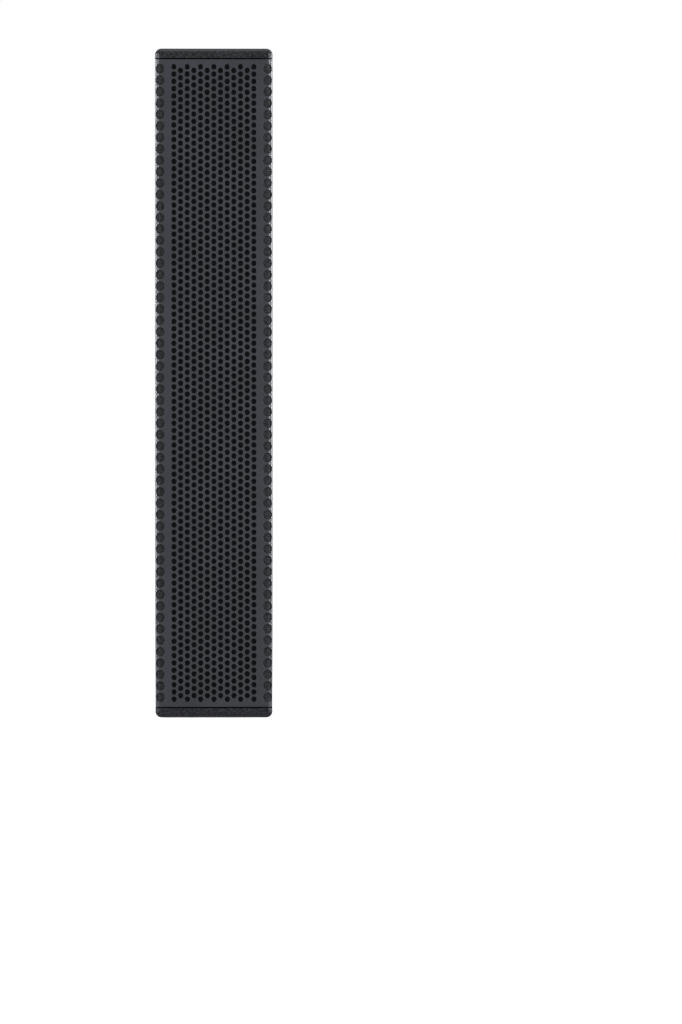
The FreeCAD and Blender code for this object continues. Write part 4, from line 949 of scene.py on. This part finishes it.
def sheet_rim(sheet):
    """The cut edges all round the sheet, between its two layers."""
    columns = [*EDGE_LINES, *FOLD_LINES[1:], RETURN_END]
    across = [-u for u in reversed(columns)] + [u for u, _ in zigzag_top()] + columns
    ends = (GRILLE_LOW.z, GRILLE_HIGH.z)
    edges = [[(u, z) for u in across] for z in ends]
    edges += [[(u, z) for z in ends] for u in (-RETURN_END, RETURN_END)]
    for edge in edges:
        sheet.bridge(*([sheet.spot(*place, t) for place in edge] for t in LAYERS), closed=False)


def grille():
    """The whole folded sheet."""
    sheet = Sheet()
    small_holes(sheet)
    for side in (-1, 1):
        edge_holes(sheet, side)
        sheet_sides(sheet, side)
    sheet_frame(sheet)
    sheet_rim(sheet)
    return sharpen(sheet.piece("folded_grille"), 30)


def soft_block(name, node, radius, step, corner_steps, skins):
    """A soft block in a CAD node's place, roughened by each (size, depth) of its skins in turn."""
    low, high = (Vector(corner) for corner in box_mm(node))
    middle = (low + high) / 2
    half = (high - low) / 2
    outline = []
    corners = rounded_rectangle(half.x, half.y, radius, corner_steps)
    for (x, y), (end_x, end_y) in zip(corners, [*corners[1:], corners[0]]):
        parts = max(1, round(math.dist((x, y), (end_x, end_y)) / step))
        shares = (p / parts for p in range(parts))
        outline += [(x + (end_x - x) * share, y + (end_y - y) * share) for share in shares]
    b = Builder()
    levels = max(2, round(half.z * 2 / step))
    rounding = min(radius / 2, half.x / 3, half.y / 3)
    rings = []
    for level in range(levels + 1):
        z = low.z + (high.z - low.z) * level / levels
        tuck = rounding * max(0.0, 1 - min(z - low.z, high.z - z) / rounding) ** 2
        in_x, in_y = 1 - tuck / half.x, 1 - tuck / half.y
        rings.append(b.ring((middle.x + x * in_x, middle.y + y * in_y, z) for x, y in outline))
    b.fill(rings[0])
    b.fill(b.chain(*rings))
    block = b.piece(name)
    for skin in skins:
        roughen(block, *skin)
    return sharpen(block, 80)


def grille_foam():
    """Open-cell foam behind the grille, with a torn, pitted skin."""
    return soft_block("foam_lining", "grille_foam", 2.9, 1.3, 4, ((1.9, 0.5), (0.8, 0.3)))


def damping_wool():
    """The lumpy pad of fleece behind the upper drivers."""
    return soft_block("fleece_pad", "damping_wool", 12.0, 3.0, 6, ((26.0, 7.0), (7.0, 2.5)))


def grille_screws():
    """Flush countersunk screws in the grille's returns."""
    profile = [(0, 0), (2.95, 0), (3.2, -0.15), (1.6, -1.2), (1.6, -7.2), (0, -8.4)]
    places = [
        ((side * HALF_WIDTH, SCREW_Y, z), (side, 0, 0), 23 * number + 40 * side)
        for side in (-1, 1)
        for number, z in enumerate(SCREW_HEIGHTS)
    ]
    return placed("grille_fixings", cross_head(profile, reach=1.6), places)


# ---- Terminal plate and socket


def cross_head(profile, reach=1.5, top=0.0):
    """A screw along +Z from its outline, with a tapered cross recess cut into its head."""
    screw = turned("screw_model", profile, 48)
    b = Builder()
    rings = []
    ends = ((top + CROSS_RISE, reach * 1.35, 0.55), (top - CROSS_DEPTH, reach * 0.45, 0.3))
    for z, arm, half in ends:
        points = []
        for c, s in ((1, 0), (0, 1), (-1, 0), (0, -1)):
            quarter = ((arm, -half), (arm, half), (half, half))
            points += [(x * c - y * s, x * s + y * c, z) for x, y in quarter]
        rings.append(b.ring(points))
    b.bridge(*rings)
    for ring in rings:
        b.fill(ring)
    modifier = screw.modifiers.new("cut", "BOOLEAN")
    modifier.operation = "DIFFERENCE"
    modifier.solver = "EXACT"
    modifier.object = b.piece("cross_cutter")
    graph = bpy.context.evaluated_depsgraph_get()
    cut = bpy.data.meshes.new_from_object(screw.evaluated_get(graph))
    bpy.data.objects.remove(modifier.object)
    screw.modifiers.clear()
    screw.data = cut
    return sharpen(screw)


def rear_places(spots, y, spin, step):
    """Places for screws driven in from behind, each turned on a step from the one before."""
    return [
        ((x, y, SOCKET_Z + z), (0, 1, 0), spin + step * number)
        for number, (x, z) in enumerate(spots)
    ]


def terminal_plate():
    """The flush plate, its outer edge broken, pierced for the socket and the screws."""
    spots = [(0, 0, BARREL_RADIUS + FASTENER_GAP, 48)]
    spots += [(x, z, SOCKET_SCREW_HOLE, 16) for x, z in SOCKET_SCREWS]
    spots += [(x, z, PLATE_HOLE_RADIUS, 24) for x, z in PLATE_SCREWS]
    b = Builder()

    def holes(y):
        return [b.upright(circle_points(radius, count), y, x, z) for x, z, radius, count in spots]

    back_y, face_y = PLATE_LOW.y, PLATE_HIGH.y
    back = b.flat(PLATE_HIGH, 0, back_y)
    edge = b.flat(PLATE_HIGH, 0, face_y - PLATE_BEVEL)
    face = b.chain(back, edge, b.flat(PLATE_HIGH, PLATE_BEVEL, face_y))
    back_holes, face_holes = holes(back_y), holes(face_y)
    b.fill(back, back_holes)
    b.fill(face, face_holes)
    b.walls(back_holes, face_holes)
    return soften(b.piece("terminal_cover"), 50)


def plate_screws():
    """Four pan-head screws at the plate's corners."""
    dome = [(0, 1.5), (1.35, 1.455), (2.25, 1.2), (2.79, 0.75), (3, 0.225)]
    model = cross_head([*dome, (3, 0), (1.75, 0), (1.75, -6.25), (0, -8)], top=1.5)
    return placed("plate_fixings", model, rear_places(PLATE_SCREWS, BACK, 17, 31))


def bore_outline():
    """The socket's bore: a circle with a keyway at its top and bottom."""
    points = []
    key_angle = math.asin(KEYWAY_HALF / SOCKET_BORE)
    for start, side in ((-math.pi / 2, 1), (math.pi / 2, -1)):
        sweep = math.pi - 2 * key_angle
        angles = (start + key_angle + sweep * k / ARC_STEPS for k in range(ARC_STEPS + 1))
        points += [polar(SOCKET_BORE, angle) for angle in angles]
        points += [(side * x, side * KEYWAY_REACH) for x in (KEYWAY_HALF, -KEYWAY_HALF)]
    return points


def connector_housing():
    """The socket: flange, raised lip, keyed bore round a hollow core, and the barrel behind."""
    flange_y = BACK + FLANGE_THICK
    lip_y = SOCKET_HIGH.y
    floor_y = BACK - SOCKET_DEPTH
    core_y = lip_y - CORE_RECESS
    end_y = SOCKET_LOW.y
    b = Builder()

    def circle(radius, y, count=64):
        return b.upright(circle_points(radius, count), y)

    def screw_holes(radius, y):
        return [b.upright(circle_points(radius, 32), y, x, z) for x, z in SOCKET_SCREWS]

    back = b.flat(SOCKET_HIGH, 0, BACK)
    rounded = (b.flat(SOCKET_HIGH, inset, flange_y - drop) for inset, drop in FLANGE_EDGE)
    front = b.chain(back, *rounded)
    sinks = screw_holes(SOCKET_SCREW_HEAD + FASTENER_GAP, flange_y)
    exits = screw_holes(SOCKET_SCREW_HOLE, BACK)
    b.walls(sinks, exits)
    lip_foot = circle(LIP_RADIUS, flange_y)
    b.fill(front, [lip_foot, *sinks])
    barrel = circle(BARREL_RADIUS, BACK)
    b.fill(back, [barrel, *exits])
    bevel = circle(BARREL_RADIUS, end_y + BARREL_BEVEL)
    b.fill(b.chain(barrel, bevel, circle(BARREL_RADIUS - BARREL_BEVEL, end_y)))
    mouth = b.upright(bore_outline(), lip_y)
    b.fill(b.chain(lip_foot, circle(LIP_RADIUS - LIP_BEVEL, lip_y)), [mouth])
    core_foot = circle(CORE_RADIUS, floor_y, 48)
    b.fill(b.chain(mouth, b.upright(bore_outline(), floor_y)), [core_foot])
    core = (
        (CORE_RADIUS, core_y - CORE_BEVEL),
        (CORE_RADIUS - CORE_BEVEL, core_y),
        (CORE_BORE + CORE_BORE_BEVEL, core_y),
        (CORE_BORE, core_y - CORE_BORE_BEVEL),
        (CORE_BORE, floor_y),
    )
    b.fill(b.chain(core_foot, *(circle(radius, y, 48) for radius, y in core)))
    return soften(b.piece("socket_body"), 50)


def connector_screws():
    """Two raised countersunk screws on the flange's diagonal."""
    head = [(0, 0.45), (1.2, 0.4), (2.1, 0.22), (2.6, 0.03), (SOCKET_SCREW_HEAD, -0.12)]
    profile = [*head, (1.5, -1.5), (1.5, -6.5), (0, -8)]
    model = cross_head(profile, reach=1.35, top=0.45)
    places = rear_places(SOCKET_SCREWS, BACK + FLANGE_THICK, 35, 50)
    return placed("socket_fixings", model, places)


# ---- Drivers' suspension: rings that meet the cone inside and the basket outside


def suspend(piece, inner, outer):
    """Bakes a ring's placement into its mesh and bends nothing; inner and outer are not used."""
    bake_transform(piece)
    for vertex in piece.data.vertices:
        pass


def surround_profile():
    """Half-roll section: lip, roll and rim, as (radius, axial) with the roll towards the front."""
    middle = (SURROUND_INNER + SURROUND_OUTER) / 2
    roll = (SURROUND_OUTER - SURROUND_INNER) / 2
    arc = [polar(1, math.pi * (1 - k / ROLL_STEPS)) for k in range(ROLL_STEPS + 1)]
    layers = []
    for thick in (0, SUSPENSION_THICK):
        y = SURROUND_BACK - thick
        bulge = [(middle + (roll + thick) * across, y - roll * rise) for across, rise in arc]
        layers.append([(SURROUND_LIP, y), *bulge, (SURROUND_RIM, y)])
    back, front = layers
    return back + front[::-1]


def spider_profile():
    """Corrugated section with a flat rim."""
    steps = SPIDER_WAVES * WAVE_STEPS
    back = []
    for k in range(steps + 1):
        share = k / steps
        rise = SPIDER_WAVE * (1 - math.cos(2 * math.pi * SPIDER_WAVES * share)) / 2
        radius = SPIDER_INNER + (SPIDER_FLAT - SPIDER_INNER) * share
        back.append((radius, SPIDER_BACK - rise))
    back.append((SPIDER_RIM, SPIDER_BACK))
    front = [(radius, along - SUSPENSION_THICK) for radius, along in reversed(back)]
    return [*back, *front]


def suspension(number):
    """One driver's surround and spider."""
    low, high = box_mm(f"driver_{number}_surround")
    centre_z = (low.z + high.z) / 2
    centre = (0, BAFFLE_FRONT, centre_z)
    rings = (
        ("surround", "surround_rubber", surround_profile(), SURROUND_INNER, SURROUND_OUTER),
        ("spider", "spider_cloth", spider_profile(), SPIDER_GLUED, SPIDER_FLAT),
    )
    for kind, slot, profile, inner, outer in rings:
        piece = turned(f"bending_{kind}_{number}", profile, 96, centre, backwards=True, degrees=60)
        piece.data.materials.append(MATERIALS[slot])
        suspend(piece, inner, outer)
        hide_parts(f"driver_{number}_{kind}")


# ---- Materials for each of the record's slots

OWN_SLOTS = (
    baffle_paint, bare_plywood, grille_paint, acoustic_foam, plate_paint, circuit_board,
    wire_sleeve, damping_fleece, ferrite, coil_copper, surround_rubber, spider_cloth,
)
MATERIALS = {
    **{make.__name__: make() for make in OWN_SLOTS},
    "cabinet_paint": structured_paint(),
    "black_screw": metal("black_screw", shade(0.05), shade(0.09), 0.28, 0.8, grain=0.4),
    "zinc_steel": metal("zinc_steel", (0.42, 0.42, 0.43), (0.62, 0.62, 0.64), 0.34),
    "contact_metal": metal("contact_metal", (0.17, 0.16, 0.15), (0.26, 0.25, 0.23), 0.4),
    "basket_paint": metal("basket_paint", shade(0.02), shade(0.035), 0.45, 0.2, grain=0.7),
    # the socket plastic carries a painted highlight on its lip ring
    "socket_plastic": moulded_plastic(
        "socket_plastic", shade(0.015), shade(0.021), lip_highlight=shade(0.075)
    ),
    "component_case": moulded_plastic(
        "component_case", (0.22, 0.045, 0.018), (0.33, 0.075, 0.03), 0.35
    ),
    "cone_paper": paper("cone_paper", (0.018, 0.018, 0.018), (0.045, 0.044, 0.042)),
    "cap_paper": paper("cap_paper", (0.012, 0.012, 0.013), (0.03, 0.03, 0.03), 0.6),
}


# ---- Studio, in metres; the strips are (degrees round from the front, watts)

CAMERA_DISTANCE = 7.0
VIEW_HEIGHT = 0.9579
VIEW_OFFSET = (0.1189, 0.1204)
SENSOR = 36.0
FLOOR_RADIUS = 6.0
ROOM_LEVEL = 0.5
LIGHT_CAST = (0.97, 0.985, 1.02)
FLOOR_DROP = 0.0002
OVERHEAD_HEIGHT = 2.6
OVERHEAD_SIZE = (1.6, 1.6)
OVERHEAD_WATTS = 10
STRIP_DISTANCE = 1.3
STRIP_HEIGHT = 0.48
STRIP_SIZE = (0.26, 0.8)
STRIPS = ((65, 15), (-65, 11.5), (115, 13.5), (-115, 12.5))


def aim(thing, place, target):
    """Places a camera or a light and turns it to a point."""
    thing.location = place
    thing.rotation_euler = (Vector(target) - Vector(place)).to_track_quat("-Z", "Y").to_euler()


def camera():
    """A long lens square on to the grille, aimed a little right of and below the speaker."""
    data = bpy.data.cameras.new("camera")
    data.sensor_width = SENSOR
    data.lens = SENSOR * CAMERA_DISTANCE / VIEW_HEIGHT
    eye = add_object("camera", data)
    place = (0, FRONT * MM - CAMERA_DISTANCE, MIDDLE * MM)
    aim(eye, place, (VIEW_OFFSET[0], FRONT * MM, MIDDLE * MM - VIEW_OFFSET[1]))
    bpy.context.scene.camera = eye


def floor():
    """A wide pale disc under the speaker, which throws no light back at it."""
    b = Builder()
    b.fill(b.ring((x, y, 0) for x, y in circle_points(FLOOR_RADIUS / MM, 96)))
    disc = b.piece("studio_floor")
    disc.location.z = -FLOOR_DROP
    disc.data.materials.append(studio_floor())
    disc.visible_diffuse = False
    disc.visible_glossy = False


def area_light(name, place, size, watts):
    """A soft rectangular light, turned to the speaker's middle, that isn't seen directly."""
    data = bpy.data.lights.new(name, "AREA")
    data.shape = "RECTANGLE"
    data.size, data.size_y = size
    data.energy = watts
    data.color = LIGHT_CAST
    light = add_object(name, data)
    aim(light, place, (0, 0, MIDDLE * MM))
    light.visible_camera = False


def lights():
    """A faint panel overhead, and two tall strips on each side that draw the upright edges."""
    area_light("overhead", (0, 0, OVERHEAD_HEIGHT), OVERHEAD_SIZE, OVERHEAD_WATTS)
    for angle, watts in STRIPS:
        x, y = polar(STRIP_DISTANCE, math.radians(angle - 90))
        area_light(f"strip_{angle}", (x, y, STRIP_HEIGHT), STRIP_SIZE, watts)


def room():
    """White all round to the eye, and an even dim light on everything else."""
    world = bpy.data.worlds.new("room")
    bpy.context.scene.world = world
    world.use_nodes = True
    tree = world.node_tree
    tree.nodes.clear()
    dim, white = (
        add_node(tree, "Background", {"Color": (*colour, 1.0), "Strength": level})["Background"]
        for colour, level in ((LIGHT_CAST, ROOM_LEVEL), ((1.0, 1.0, 1.0), 1.0))
    )
    seen = add_node(tree, "LightPath", {})["Is Camera Ray"]
    choice = add_node(tree, "MixShader", {0: seen, 1: dim, 2: white})["Shader"]
    add_node(tree, "OutputWorld", {"Surface": choice})


# ---- Assembly: CAD nodes take their slots' materials, then finer pieces replace theirs

for part in frame["record"]["subparts"]:
    for place in frame["nodes"][part["node"]].material_slots:
        place.link = "OBJECT"
        place.material = MATERIALS[part["material_slot"]]
settle(end_panel("cabinet_top", HEIGHT, SIDE_HIGH.z), "cabinet_paint", "top_panel")
settle(end_panel("cabinet_base", 0, SIDE_LOW.z), "cabinet_paint", "bottom_panel")
settle(side_panel("cabinet_side_left", -1), "cabinet_paint", "side_panel_left")
settle(side_panel("cabinet_side_right", 1), "cabinet_paint", "side_panel_right")
settle(rear_panel("cabinet_back"), "cabinet_paint", "rear_panel")
settle(threaded_inserts(), "zinc_steel", "threaded_inserts")
settle(grille(), "grille_paint", "grille")
settle(grille_foam(), "acoustic_foam", "grille_foam")
settle(grille_screws(), "black_screw", "grille_screws")
settle(terminal_plate(), "plate_paint", "terminal_plate")
settle(plate_screws(), "black_screw", "plate_screws")
settle(connector_housing(), "socket_plastic", "connector_housing")
settle(connector_screws(), "black_screw", "connector_screws")
settle(damping_wool(), "damping_fleece", "damping_wool")
for driver in range(1, 7):
    suspension(driver)

camera()
floor()
lights()
room()
bpy.context.scene.view_settings.view_transform = "Standard"
